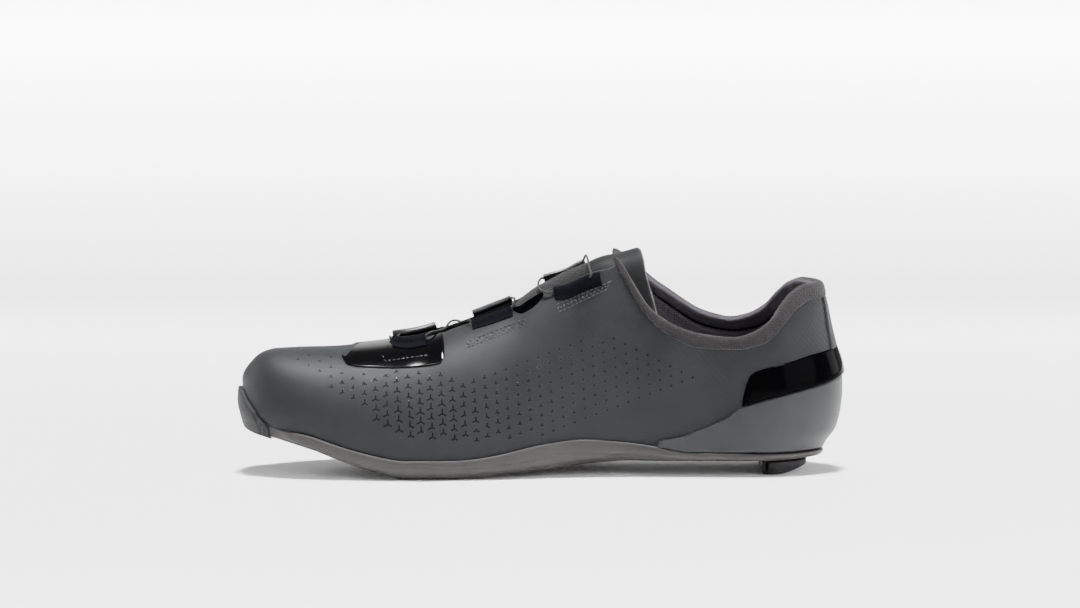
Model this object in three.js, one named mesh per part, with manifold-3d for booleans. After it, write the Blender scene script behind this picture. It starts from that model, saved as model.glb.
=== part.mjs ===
// Road cycling shoe for the right foot, in millimetres.
// +Z is up, -X is the toe, +X the heel, -Y the medial side and +Y the lateral side.
// Every curved piece is cut from one last, the form that the foot fills.
import * as THREE from 'three';
import { mergeVertices } from 'three/addons/utils/BufferGeometryUtils.js';
import Module from 'manifold-3d';

const wasm = await Module();
wasm.setup();

// Driving sizes
const shoeLength = 280;
const ballWidth = 97;
const heelWidth = 66;
const toeHeight = 57;
const instepHeight = 98;
const toeSpring = 18;
const archHeight = 6.5;
const soleThickness = 5;
const wall = 2;
const seat = 0.32;
const bumperProud = 2.3;
const bandProud = 2.5;
const cupProud = 1.5;
const patchProud = 0.95;
const stripProud = 0.9;
const lipProud = 1.7;
const insoleThickness = 3;
const rollThickness = 6.2;
const tongueThickness = 3.2;
const tongueClearance = 0.8;
const tongueHang = 24.5;
const strapClearance = 0.5;
const webbing = 1.3;
const laceDiameter = 1.1;
const dialRadius = 10.5;
const dialHeight = 6;
const dialBaseHeight = 3.2;
const dialStandoff = 0.9;
const padHeight = 5.8;
const nutRadius = 5.5;
const nutDepth = 2.4;
const nutSpacingAcross = 34;
const nutSpacingAlong = 23;

const toeTip = -shoeLength / 2 + bumperProud;
const heelTip = shoeLength / 2 - bandProud;

// Plan of the last. along runs from toe 0 to heel 1; centre is a share of the ball width;
// ball and heel are the half width divided by the sine of the station, as shares of those widths.
const plan = [
  { along: 0.000, centre: -0.093, ball: 0.650, heel: 0 },
  { along: 0.027, centre: -0.088, ball: 0.640, heel: 0 },
  { along: 0.064, centre: -0.074, ball: 0.618, heel: 0 },
  { along: 0.136, centre: -0.045, ball: 0.578, heel: 0 },
  { along: 0.209, centre: -0.023, ball: 0.553, heel: 0 },
  { along: 0.282, centre: -0.002, ball: 0.541, heel: 0 },
  { along: 0.336, centre: 0.015, ball: 0.526, heel: 0 },
  { along: 0.409, centre: 0.038, ball: 0.420, heel: 0.110 },
  { along: 0.500, centre: 0.046, ball: 0.230, heel: 0.291 },
  { along: 0.591, centre: 0.031, ball: 0.100, heel: 0.408 },
  { along: 0.682, centre: 0.019, ball: 0, heel: 0.541 },
  { along: 0.773, centre: 0.010, ball: 0, heel: 0.597 },
  { along: 0.864, centre: 0.002, ball: 0, heel: 0.721 },
  { along: 0.918, centre: 0, ball: 0, heel: 0.815 },
  { along: 0.955, centre: 0, ball: 0, heel: 0.836 },
  { along: 1.000, centre: 0, ball: 0, heel: 0.818 },
];

// Ridge of the last, as shares of the toe box height and the instep height.
const ridgeRows = [
  { along: 0.000, toe: 0.745, instep: 0 },
  { along: 0.014, toe: 0.886, instep: 0 },
  { along: 0.027, toe: 0.946, instep: 0 },
  { along: 0.040, toe: 0.977, instep: 0 },
  { along: 0.060, toe: 0.995, instep: 0 },
  { along: 0.136, toe: 1.000, instep: 0 },
  { along: 0.209, toe: 0.800, instep: 0.130 },
  { along: 0.245, toe: 0.600, instep: 0.258 },
  { along: 0.305, toe: 0.400, instep: 0.403 },
  { along: 0.336, toe: 0.300, instep: 0.489 },
  { along: 0.422, toe: 0.150, instep: 0.665 },
  { along: 0.481, toe: 0, instep: 0.837 },
  { along: 0.510, toe: 0, instep: 0.893 },
  { along: 0.565, toe: 0, instep: 0.985 },
  { along: 0.612, toe: 0, instep: 1.130 },
  { along: 0.664, toe: 0, instep: 1.190 },
  { along: 0.718, toe: 0, instep: 1.200 },
  { along: 0.827, toe: 0, instep: 1.185 },
  { along: 1.000, toe: 0, instep: 1.160 },
];

// Ridge that the tongue follows, as a share of the instep height above the toe box share.
const tongueRidgeRows = [
  { along: 0.180, toe: 0.900, instep: 0.068 },
  { along: 0.209, toe: 0.800, instep: 0.130 },
  { along: 0.245, toe: 0.600, instep: 0.258 },
  { along: 0.305, toe: 0.400, instep: 0.403 },
  { along: 0.336, toe: 0.300, instep: 0.489 },
  { along: 0.422, toe: 0.150, instep: 0.665 },
  { along: 0.481, toe: 0, instep: 0.837 },
  { along: 0.510, toe: 0, instep: 0.890 },
  { along: 0.565, toe: 0, instep: 0.960 },
  { along: 0.612, toe: 0, instep: 1.015 },
  { along: 0.650, toe: 0, instep: 1.045 },
  { along: 0.700, toe: 0, instep: 1.075 },
];

// Section shape: 2 is round, more is squarer.
const squareRows = [
  { along: 0.000, square: 2.5 },
  { along: 0.140, square: 2.35 },
  { along: 0.336, square: 2.3 },
  { along: 0.500, square: 2.3 },
  { along: 0.700, square: 2.35 },
  { along: 1.000, square: 2.25 },
];

// Underside of the sole: shares of the toe spring and the arch height, and the thickness to the footbed.
const soleRows = [
  { along: 0.000, spring: 1.200, arch: 0, thick: 0.52 },
  { along: 0.035, spring: 1.000, arch: 0, thick: 0.80 },
  { along: 0.098, spring: 0.739, arch: 0, thick: 0.90 },
  { along: 0.163, spring: 0.389, arch: 0, thick: 0.95 },
  { along: 0.230, spring: 0.095, arch: 0, thick: 1.00 },
  { along: 0.265, spring: 0, arch: 0, thick: 1.03 },
  { along: 0.357, spring: 0, arch: 0, thick: 1.00 },
  { along: 0.400, spring: 0, arch: 0.060, thick: 1.00 },
  { along: 0.450, spring: 0, arch: 0.250, thick: 1.02 },
  { along: 0.500, spring: 0, arch: 0.420, thick: 1.03 },
  { along: 0.585, spring: 0, arch: 0.780, thick: 0.90 },
  { along: 0.660, spring: 0, arch: 1.000, thick: 0.62 },
  { along: 1.000, spring: 0, arch: 1.000, thick: 0.55 },
];

// Rise of the side lip of the sole above the footbed, in sole thicknesses, and its crease.
const lipRows = [
  { along: 0.000, medial: 0.05, lateral: 0.05, crease: 0.00 },
  { along: 0.045, medial: 0.30, lateral: 0.30, crease: -0.20 },
  { along: 0.100, medial: 0.55, lateral: 0.50, crease: -0.35 },
  { along: 0.163, medial: 0.60, lateral: 0.60, crease: -0.45 },
  { along: 0.265, medial: 0.80, lateral: 0.80, crease: 0.30 },
  { along: 0.357, medial: 0.85, lateral: 0.85, crease: 0.30 },
  { along: 0.430, medial: 1.05, lateral: 0.80, crease: 0.20 },
  { along: 0.500, medial: 1.50, lateral: 0.80, crease: 0.35 },
  { along: 0.555, medial: 1.65, lateral: 0.75, crease: 0.45 },
  { along: 0.620, medial: 1.40, lateral: 0.60, crease: 0.35 },
  { along: 0.690, medial: 1.00, lateral: 0.50, crease: 0.15 },
  { along: 0.768, medial: 0.35, lateral: 0.35, crease: -0.15 },
  { along: 1.000, medial: 0.18, lateral: 0.18, crease: -0.22 },
];

// Toe front: how far the front draws back below a height, shares of toe height and toe spring.
const toeFrontRows = [
  { height: 0.00, back: 0.50 },
  { height: 0.36, back: 0.22 },
  { height: 0.44, back: 0.08 },
  { height: 0.55, back: 0 },
  { height: 3.00, back: 0 },
];

// Heel back: how far the back draws in at a height, shares of instep height and heel width.
const heelBackRows = [
  { height: 0.00, inset: 0.18 },
  { height: 0.09, inset: 0.145 },
  { height: 0.14, inset: 0.113 },
  { height: 0.205, inset: 0.045 },
  { height: 0.29, inset: 0.012 },
  { height: 0.37, inset: 0 },
  { height: 0.46, inset: 0.002 },
  { height: 0.58, inset: 0.028 },
  { height: 0.67, inset: 0.060 },
  { height: 0.78, inset: 0.094 },
  { height: 0.86, inset: 0.125 },
  { height: 0.94, inset: 0.160 },
  { height: 1.40, inset: 0.300 },
];

// Half gap of the throat between its two edges, as a share of the heel width.
const throatRows = [
  { along: 0.245, gap: 0 },
  { along: 0.256, gap: 0.105 },
  { along: 0.282, gap: 0.165 },
  { along: 0.336, gap: 0.195 },
  { along: 0.422, gap: 0.220 },
  { along: 0.460, gap: 0.228 },
  { along: 0.481, gap: 0.262 },
  { along: 0.505, gap: 0.262 },
  { along: 0.565, gap: 0.300 },
  { along: 0.612, gap: 0.345 },
  { along: 0.635, gap: 0.345 },
  { along: 0.648, gap: 0.340 },
  { along: 0.660, gap: 0.220 },
  { along: 0.680, gap: 0 },
];

// Top line of the collar on both sides, and the width of its padded roll, as shares of the
// instep height.
const collarRows = [
  { along: 0.560, medial: 1.300, lateral: 1.300, roll: 0.050, lateralRoll: 0.050 },
  { along: 0.630, medial: 1.120, lateral: 1.120, roll: 0.050, lateralRoll: 0.050 },
  { along: 0.648, medial: 1.045, lateral: 1.045, roll: 0.058, lateralRoll: 0.058 },
  { along: 0.659, medial: 1.010, lateral: 1.020, roll: 0.080, lateralRoll: 0.062 },
  { along: 0.667, medial: 0.972, lateral: 1.003, roll: 0.096, lateralRoll: 0.066 },
  { along: 0.674, medial: 0.925, lateral: 0.985, roll: 0.098, lateralRoll: 0.068 },
  { along: 0.681, medial: 0.876, lateral: 0.965, roll: 0.090, lateralRoll: 0.070 },
  { along: 0.689, medial: 0.826, lateral: 0.943, roll: 0.078, lateralRoll: 0.072 },
  { along: 0.700, medial: 0.782, lateral: 0.915, roll: 0.071, lateralRoll: 0.074 },
  { along: 0.715, medial: 0.746, lateral: 0.873, roll: 0.071, lateralRoll: 0.076 },
  { along: 0.733, medial: 0.714, lateral: 0.834, roll: 0.073, lateralRoll: 0.076 },
  { along: 0.757, medial: 0.686, lateral: 0.781, roll: 0.075, lateralRoll: 0.076 },
  { along: 0.781, medial: 0.669, lateral: 0.735, roll: 0.070, lateralRoll: 0.072 },
  { along: 0.807, medial: 0.659, lateral: 0.708, roll: 0.064, lateralRoll: 0.066 },
  { along: 0.833, medial: 0.656, lateral: 0.694, roll: 0.060, lateralRoll: 0.062 },
  { along: 0.862, medial: 0.676, lateral: 0.709, roll: 0.067, lateralRoll: 0.067 },
  { along: 0.893, medial: 0.722, lateral: 0.750, roll: 0.078, lateralRoll: 0.078 },
  { along: 0.928, medial: 0.812, lateral: 0.832, roll: 0.083, lateralRoll: 0.083 },
  { along: 0.950, medial: 0.860, lateral: 0.876, roll: 0.078, lateralRoll: 0.078 },
  { along: 0.975, medial: 0.890, lateral: 0.900, roll: 0.078, lateralRoll: 0.078 },
  { along: 1.000, medial: 0.895, lateral: 0.895, roll: 0.080, lateralRoll: 0.080 },
];
const collarStart = 0.648;

// Heel cup: the height of its top edge, as a share of the instep height.
const cupRows = [
  { along: 0.700, top: 0.165 },
  { along: 0.735, top: 0.182 },
  { along: 0.760, top: 0.211 },
  { along: 0.786, top: 0.244 },
  { along: 0.809, top: 0.276 },
  { along: 0.821, top: 0.306 },
  { along: 0.832, top: 0.324 },
  { along: 0.865, top: 0.355 },
  { along: 0.914, top: 0.391 },
  { along: 0.970, top: 0.425 },
  { along: 1.000, top: 0.458 },
];

// Polished band over the heel cup: the height of its top edge.
const bandRows = [
  { along: 0.834, top: 0.360 },
  { along: 0.840, top: 0.430 },
  { along: 0.848, top: 0.478 },
  { along: 0.862, top: 0.500 },
  { along: 0.914, top: 0.536 },
  { along: 0.960, top: 0.566 },
  { along: 1.000, top: 0.590 },
];

// Toe bumper: its height above the feather edge, as a share of the room up to the toe height.
const bumperRows = [
  { turn: 0.00, top: 0.465 },
  { turn: 0.35, top: 0.407 },
  { turn: 0.60, top: 0.297 },
  { turn: 0.80, top: 0.200 },
  { turn: 0.90, top: 0.125 },
  { turn: 1.00, top: 0.060 },
];
const bumperHalfTurn = 0.40;

// Polished film at the front of the throat: its lower edge as a share of the toe height.
const filmRows = [
  { along: 0.169, low: 0.955 },
  { along: 0.178, low: 0.905 },
  { along: 0.200, low: 0.885 },
  { along: 0.260, low: 0.880 },
  { along: 0.318, low: 0.905 },
  { along: 0.334, low: 0.925 },
  { along: 0.342, low: 0.970 },
];

// Medial loops and lateral guides: where each starts and ends along the last.
const loopRows = [
  { start: 0.262, end: 0.318 },
  { start: 0.388, end: 0.456 },
  { start: 0.532, end: 0.606 },
];
const guideRows = [
  { start: 0.262, end: 0.330 },
  { start: 0.385, end: 0.460 },
  { start: 0.520, end: 0.600 },
];
const loopReach = 13;
const guideReach = 15;
const laceDrop = 10;
const dialDrop = 34;

// Closure dials on the lateral side: place along the last.
const dialRows = [
  { name: 'lower', along: 0.350 },
  { name: 'upper', along: 0.552 },
];

const colours = {
  upper: 0x45484b,
  binding: 0x37322e,
  tongue: 0x3a3b3d,
  insole: 0x1c1c1e,
  sole: 0x5c5a58,
  rubber: 0x35353a,
  cup: 0x4a4846,
  gloss: 0x050507,
  webbing: 0x23242e,
  guide: 0x17181a,
  lace: 0x8c8d8c,
  metal: 0x9a9c9e,
};

// Smooth curve through the rows of a table, without overshoot.
function curveThrough(rows, input, output, toParameter = (value) => value) {
  const xs = rows.map((row) => toParameter(row[input]));
  const ys = rows.map((row) => row[output]);
  const slopes = xs.slice(1).map((x, i) => (ys[i + 1] - ys[i]) / (x - xs[i]));
  const tangents = ys.map((_, i) => {
    if (i === 0) return slopes[0];
    if (i === ys.length - 1) return slopes[slopes.length - 1];
    const before = slopes[i - 1];
    const after = slopes[i];
    return before * after <= 0 ? 0 : (2 * before * after) / (before + after);
  });
  return (value) => {
    const x = toParameter(value);
    if (x <= xs[0]) return ys[0];
    if (x >= xs[xs.length - 1]) return ys[ys.length - 1];
    let i = 0;
    while (x > xs[i + 1]) i += 1;
    const step = xs[i + 1] - xs[i];
    const t = (x - xs[i]) / step;
    const t2 = t * t;
    const t3 = t2 * t;
    return (2 * t3 - 3 * t2 + 1) * ys[i] + (t3 - 2 * t2 + t) * step * tangents[i]
      + (3 * t2 - 2 * t3) * ys[i + 1] + (t3 - t2) * step * tangents[i + 1];
  };
}

// A station angle is 0 at the toe and pi at the heel; past pi it comes back on the lateral side.
const stationAngle = (along) => Math.acos(THREE.MathUtils.clamp(1 - 2 * along, -1, 1));
const alongOf = (angle) => (1 - Math.cos(angle)) / 2;
const table = (rows, key) => curveThrough(rows, 'along', key, stationAngle);

const centreShare = table(plan, 'centre');
const ballShare = table(plan, 'ball');
const heelShare = table(plan, 'heel');
const ridgeToe = table(ridgeRows, 'toe');
const ridgeInstep = table(ridgeRows, 'instep');
const tongueToe = table(tongueRidgeRows, 'toe');
const tongueInstep = table(tongueRidgeRows, 'instep');
const squareOf = table(squareRows, 'square');
const springShare = table(soleRows, 'spring');
const archShare = table(soleRows, 'arch');
const thickShare = table(soleRows, 'thick');
const lipMedial = table(lipRows, 'medial');
const lipLateral = table(lipRows, 'lateral');
const creaseShare = table(lipRows, 'crease');
const gapShare = table(throatRows, 'gap');
const collarMedial = table(collarRows, 'medial');
const collarLateral = table(collarRows, 'lateral');
const rollMedial = table(collarRows, 'roll');
const rollLateral = table(collarRows, 'lateralRoll');
const cupShare = table(cupRows, 'top');
const bandShare = table(bandRows, 'top');
const filmShare = table(filmRows, 'low');
const bumperShare = curveThrough(bumperRows, 'turn', 'top');
const toeBack = curveThrough(toeFrontRows, 'height', 'back');
const heelInset = curveThrough(heelBackRows, 'height', 'inset');

const halfWidth = (along) => ballShare(along) * ballWidth + heelShare(along) * heelWidth;
const undersideHeight = (along) => springShare(along) * toeSpring + archShare(along) * archHeight;
const featherHeight = (along) => undersideHeight(along) + thickShare(along) * soleThickness + seat;
const ridgeHeight = (along) => ridgeToe(along) * toeHeight + ridgeInstep(along) * instepHeight;
const tongueRidge = (along) => tongueToe(along) * toeHeight + tongueInstep(along) * instepHeight;

const halfTurn = Math.PI / 2;
const tuck = 0.07;
const tuckReach = 0.6;

// A point of the last: angle goes round the shoe, rise goes from the feather edge 0 to the ridge.
function lastPoint(angle, rise, ridge = ridgeHeight) {
  if (rise > halfTurn) return lastPoint(-angle, Math.PI - rise, ridge);
  const along = alongOf(angle);
  const power = 2 / squareOf(along);
  const low = featherHeight(along);
  const z = low + (ridge(along) - low) * Math.sin(Math.max(rise, 0)) ** power;
  const across = rise > halfTurn - 1e-9 ? 0 : Math.cos(rise) ** power;
  const pull = 1 - tuck * (1 - Math.min(1, rise / tuckReach)) ** 2;
  const y = centreShare(along) * ballWidth - halfWidth(along) * Math.sin(angle) * across * pull;
  return new THREE.Vector3(plainX(along, z), y, z);
}

// Fore and aft place: every height is stretched between its own toe front and heel back.
function plainX(along, z) {
  const front = toeTip + toeBack(z / toeHeight) * toeSpring;
  const back = heelTip - heelInset(z / instepHeight) * heelWidth;
  return front + (back - front) * along;
}

function lastNormal(angle, rise, ridge = ridgeHeight) {
  const step = 1e-3;
  const low = Math.max(rise - step, 0);
  const round = lastPoint(angle + step, rise, ridge).sub(lastPoint(angle - step, rise, ridge));
  const up = lastPoint(angle, rise + step, ridge).sub(lastPoint(angle, low, ridge));
  return round.cross(up).normalize();
}

function offsetPoint(angle, rise, distance, ridge = ridgeHeight) {
  return lastPoint(angle, rise, ridge).addScaledVector(lastNormal(angle, rise, ridge), distance);
}

// Point beside the feather edge, moved outward in plan by a distance, at a given height.
function edgePoint(angle, outward, z) {
  const step = 1e-3;
  const point = lastPoint(angle, 0);
  const round = lastPoint(angle + step, 0).sub(lastPoint(angle - step, 0)).setZ(0).normalize();
  return new THREE.Vector3(point.x + round.y * outward, point.y - round.x * outward, z);
}

// Point on the middle line of the sole, drawn in from both ends.
function spinePoint(angle, z, shrink = 0.8) {
  const along = 0.5 + (alongOf(angle) - 0.5) * shrink;
  return new THREE.Vector3(plainX(along, instepHeight * 0.37), centreShare(along) * ballWidth, z);
}

function riseAtHeight(along, z, ridge = ridgeHeight) {
  const low = featherHeight(along);
  const share = THREE.MathUtils.clamp((z - low) / (ridge(along) - low), 0, 1);
  return Math.asin(share ** (squareOf(along) / 2));
}

function riseAtGap(along, gap) {
  const width = halfWidth(along) * Math.sin(stationAngle(along));
  return Math.acos(THREE.MathUtils.clamp(gap / width, 0, 1) ** (squareOf(along) / 2));
}

const isLateral = (angle) => Math.sin(angle) < -1e-9;
const throatStart = throatRows[0].along;

function collarHeight(angle) {
  return (isLateral(angle) ? collarLateral : collarMedial)(alongOf(angle)) * instepHeight;
}

function rollWidth(angle) {
  return (isLateral(angle) ? rollLateral : rollMedial)(alongOf(angle)) * instepHeight;
}

// Rise of the top edge of the upper: the ridge, then the throat edge, then under the collar roll.
function edgeRise(angle) {
  const along = alongOf(angle);
  if (along < throatStart + 1e-6) return halfTurn;
  const throat = riseAtGap(along, gapShare(along) * heelWidth);
  const collar = riseAtHeight(along, collarHeight(angle) - rollWidth(angle));
  return Math.min(throat, collar);
}

// Moves down the last from a rise by a length along its surface.
function riseBelow(angle, from, length) {
  const steps = 12;
  let rise = from;
  for (let i = 0; i < steps; i += 1) {
    const slope = lastPoint(angle, rise).distanceTo(lastPoint(angle, rise - 1e-3)) / 1e-3;
    rise -= length / steps / slope;
  }
  return rise;
}

const faceArea = ([a, b, c]) => b.clone().sub(a).cross(c.clone().sub(a)).length() / 2;

// Two triangles over four points, split so that the smaller one is as large as it can be.
function quadFaces(a, b, c, d) {
  const first = [[a, b, c], [a, c, d]];
  const second = [[a, b, d], [b, c, d]];
  const least = (pair) => Math.min(...pair.map(faceArea));
  return least(first) >= least(second) ? first : second;
}

// Faces between neighbouring sections; closed joins the last section to the first and
// ring joins the last point of a section to its first. skip leaves a quad out.
function loftFaces(sections, { closed = false, ring = false, skip = () => false } = {}) {
  const faces = [];
  const count = sections.length;
  const points = sections[0].length;
  for (let i = 0; i < (closed ? count : count - 1); i += 1) {
    const here = sections[i];
    const next = sections[(i + 1) % count];
    for (let j = 0; j < (ring ? points : points - 1); j += 1) {
      const k = (j + 1) % points;
      if (!skip(i, j)) faces.push(...quadFaces(here[j], next[j], next[k], here[k]));
    }
  }
  return faces;
}

// Cap of a section whose first half runs out and whose second half runs back.
function capFaces(section, flip) {
  const faces = [];
  const half = section.length / 2;
  for (let j = 0; j < half - 1; j += 1) {
    const back = section.length - 1 - j;
    faces.push(...quadFaces(section[j], section[j + 1], section[back - 1], section[back]));
  }
  return flip ? faces.map(([a, b, c]) => [a, c, b]) : faces;
}

// Geometry from a closed set of faces, turned to face out, without the faces that have no area.
function solidGeometry(faces) {
  const kept = faces.filter((face) => faceArea(face) > 1e-7);
  const volume = kept.reduce((sum, [a, b, c]) => sum + a.dot(b.clone().cross(c)), 0);
  const numbers = [];
  for (const [a, b, c] of kept) {
    const order = volume > 0 ? [a, b, c] : [a, c, b];
    for (const p of order) numbers.push(p.x, p.y, p.z);
  }
  const geometry = new THREE.BufferGeometry();
  geometry.setAttribute('position', new THREE.Float32BufferAttribute(numbers, 3));
  return geometry;
}

// Slab with a plan outline: each level gives a height and how far the outline is drawn in there.
function slabGeometry(outline, levels) {
  const corners = outline.filter((p, i) => p.distanceTo(outline[(i + 1) % outline.length]) > 1e-3);
  const middle = corners.reduce((sum, p) => sum.add(p), new THREE.Vector2()).divideScalar(corners.length);
  const sections = corners.map((corner) => {
    const arm = corner.clone().sub(middle);
    const ring = levels.map(({ z, inset }) => {
      const place = middle.clone().addScaledVector(arm, 1 - inset / arm.length());
      return new THREE.Vector3(place.x, place.y, z);
    });
    const low = new THREE.Vector3(middle.x, middle.y, levels[0].z);
    const high = new THREE.Vector3(middle.x, middle.y, levels[levels.length - 1].z);
    return [low, ...ring, high];
  });
  return solidGeometry(loftFaces(sections, { closed: true }));
}

// Closed strip between two offsets of the last. at gives the angle and rise of a point of the
// strip, and inner and outer its two distances from the last.
function stripFaces({ columns, rows, at, inner, outer }) {
  const sections = [];
  for (let i = 0; i <= columns; i += 1) {
    const over = [];
    const under = [];
    for (let j = 0; j <= rows; j += 1) {
      const u = i / columns;
      const w = j / rows;
      const [angle, rise] = at(u, w);
      over.push(offsetPoint(angle, rise, outer(u, w)));
      under.unshift(offsetPoint(angle, rise, inner(u, w)));
    }
    sections.push([...over, ...under]);
  }
  return [
    ...loftFaces(sections, { ring: true }),
    ...capFaces(sections[0], false),
    ...capFaces(sections[columns], true),
  ];
}

function toManifold(geometry) {
  const bare = geometry.clone();
  bare.deleteAttribute('normal');
  bare.deleteAttribute('uv');
  const merged = mergeVertices(bare, 1e-4);
  return new wasm.Manifold(new wasm.Mesh({
    numProp: 3,
    vertProperties: new Float32Array(merged.attributes.position.array),
    triVerts: new Uint32Array(merged.index.array),
  }));
}

function fromManifold(solid) {
  const mesh = solid.getMesh();
  const geometry = new THREE.BufferGeometry();
  geometry.setAttribute('position', new THREE.BufferAttribute(mesh.vertProperties, 3));
  geometry.setIndex(new THREE.BufferAttribute(mesh.triVerts, 1));
  return geometry;
}

const shoe = new THREE.Group();

function addPart(name, geometry, color, roughness, metalness = 0) {
  const shaded = geometry.clone();
  shaded.computeVertexNormals();
  const mesh = new THREE.Mesh(shaded, new THREE.MeshStandardMaterial({ color, roughness, metalness }));
  mesh.name = name;
  shoe.add(mesh);
}

// Station angles of one side, from toe to heel, closer where the form turns fast.
function sideAngles() {
  const corner = stationAngle(collarStart);
  const front = stationAngle(throatStart);
  const knee = stationAngle(0.700);
  const spans = [[0, front, 13], [front, corner, 13], [corner, knee, 5], [knee, Math.PI, 12]];
  const angles = [0];
  for (const [from, to, cells] of spans) {
    for (let i = 1; i <= cells; i += 1) angles.push(from + ((to - from) * i) / cells);
  }
  return angles;
}

const side = sideAngles();
const wholeTurn = [...side, ...side.slice(1, -1).reverse().map((angle) => 2 * Math.PI - angle)];

// Upper: one wall between the last and the last moved in, open at the top edge and underneath.
function upperGeometry() {
  const steps = 9;
  const sections = wholeTurn.map((angle) => {
    const top = edgeRise(angle);
    const outer = [];
    const inner = [];
    for (let j = 0; j <= steps; j += 1) {
      const rise = (top * j) / steps;
      outer.push(offsetPoint(angle, rise, 0));
      inner.unshift(offsetPoint(angle, rise, -wall));
    }
    return [...outer, ...inner];
  });
  const closedTop = wholeTurn.map((angle) => edgeRise(angle) > halfTurn - 1e-6);
  const skip = (i, j) => j === steps && closedTop[i] && closedTop[(i + 1) % closedTop.length];
  return solidGeometry(loftFaces(sections, { closed: true, ring: true, skip }));
}

// Collar roll: a padded bead seated on the collar edge, from one throat corner to the other.
function bindingGeometry() {
  const start = stationAngle(collarStart) - 1e-6;
  const angles = wholeTurn.filter((angle) => angle > start && angle < 2 * Math.PI - start);
  const sections = angles.map((angle) => {
    const along = alongOf(angle);
    const top = collarHeight(angle);
    const width = rollWidth(angle);
    const level = (share) => riseAtHeight(along, top - width * share);
    const low = riseBelow(angle, edgeRise(angle), -seat);
    return [
      offsetPoint(angle, low, wall * 0.25),
      offsetPoint(angle, level(0.55), wall * 0.65),
      offsetPoint(angle, level(0.15), wall * 0.35),
      offsetPoint(angle, level(0), -wall * 0.5),
      offsetPoint(angle, level(0), wall * 0.9 - rollThickness),
      offsetPoint(angle, level(0.2), wall * 0.3 - rollThickness),
      offsetPoint(angle, level(0.65), wall * 0.65 - rollThickness),
      offsetPoint(angle, low, wall * 1.2 - rollThickness),
    ];
  });
  return solidGeometry([
    ...loftFaces(sections, { ring: true }),
    ...capFaces(sections[0], false),
    ...capFaces(sections[sections.length - 1], true),
  ]);
}

// Sole: a section goes from the middle of the footbed out, over the lip and back underneath.
function soleSection(angle) {
  const along = alongOf(angle);
  const under = undersideHeight(along);
  const foot = featherHeight(along) - seat;
  const lipShare = isLateral(angle) ? lipLateral(along) : lipMedial(along);
  const lipTop = riseAtHeight(along, foot + lipShare * soleThickness);
  const crease = foot + creaseShare(along) * soleThickness;
  const turn = Math.min(angle, 2 * Math.PI - angle);
  const free = THREE.MathUtils.smoothstep(turn, bumperHalfTurn + 0.03, bumperHalfTurn + 0.16);
  const lip = seat + (lipProud - seat) * free + 0.04;
  return [
    spinePoint(angle, foot),
    edgePoint(angle, seat, foot),
    offsetPoint(angle, lipTop, seat),
    offsetPoint(angle, lipTop, lip),
    edgePoint(angle, lip + 0.5 * free, crease + (foot - crease) * (1 - free) * 0.5),
    edgePoint(angle, lip - 0.9 * free, crease - 0.9 * free),
    edgePoint(angle, lip - 1.2 * free - 0.3, under + (crease - under) * 0.35),
    edgePoint(angle, -4, under + 0.3),
    edgePoint(angle, -9, under),
    spinePoint(angle, under),
  ];
}

const nutPlace = { along: 0.315, y: centreShare(0.315) * ballWidth };
function nutCentres() {
  const x = plainX(nutPlace.along, toeHeight);
  return [
    { name: 'front', x: x - nutSpacingAlong / 2, y: nutPlace.y },
    { name: 'medial', x: x + nutSpacingAlong / 2, y: nutPlace.y - nutSpacingAcross / 2 },
    { name: 'lateral', x: x + nutSpacingAlong / 2, y: nutPlace.y + nutSpacingAcross / 2 },
  ];
}

function outsoleGeometry() {
  let solid = toManifold(solidGeometry(loftFaces(wholeTurn.map(soleSection), { closed: true })));
  for (const { x, y } of nutCentres()) {
    const recess = new THREE.CylinderGeometry(nutRadius + seat, nutRadius + seat, nutDepth * 2, 20);
    recess.rotateX(halfTurn);
    recess.translate(x, y, 0);
    solid = solid.subtract(toManifold(recess));
  }
  return fromManifold(solid);
}

// Threaded insert: a disc in its recess, with a blind threaded hole and a bevel.
function nutGeometry() {
  const hole = nutRadius * 0.45;
  const profile = [
    new THREE.Vector2(0, nutDepth - seat),
    new THREE.Vector2(0, 1.2),
    new THREE.Vector2(hole, 1.2),
    new THREE.Vector2(hole, 0.5),
    new THREE.Vector2(hole + 0.4, 0.1),
    new THREE.Vector2(nutRadius - 0.3, 0.1),
    new THREE.Vector2(nutRadius, 0.4),
    new THREE.Vector2(nutRadius, nutDepth - seat),
    new THREE.Vector2(0, nutDepth - seat),
  ];
  const geometry = new THREE.LatheGeometry(profile, 10);
  geometry.rotateX(halfTurn);
  return geometry;
}

function insoleGeometry() {
  const clear = wall + 0.45;
  const sections = wholeTurn.map((angle) => {
    const along = alongOf(angle);
    const low = featherHeight(along) + 0.05;
    const high = riseAtHeight(along, low + insoleThickness);
    return [
      spinePoint(angle, low + insoleThickness),
      offsetPoint(angle, high, -clear),
      edgePoint(angle, -clear, low),
      spinePoint(angle, low),
    ];
  });
  return solidGeometry(loftFaces(sections, { closed: true }));
}

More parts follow.
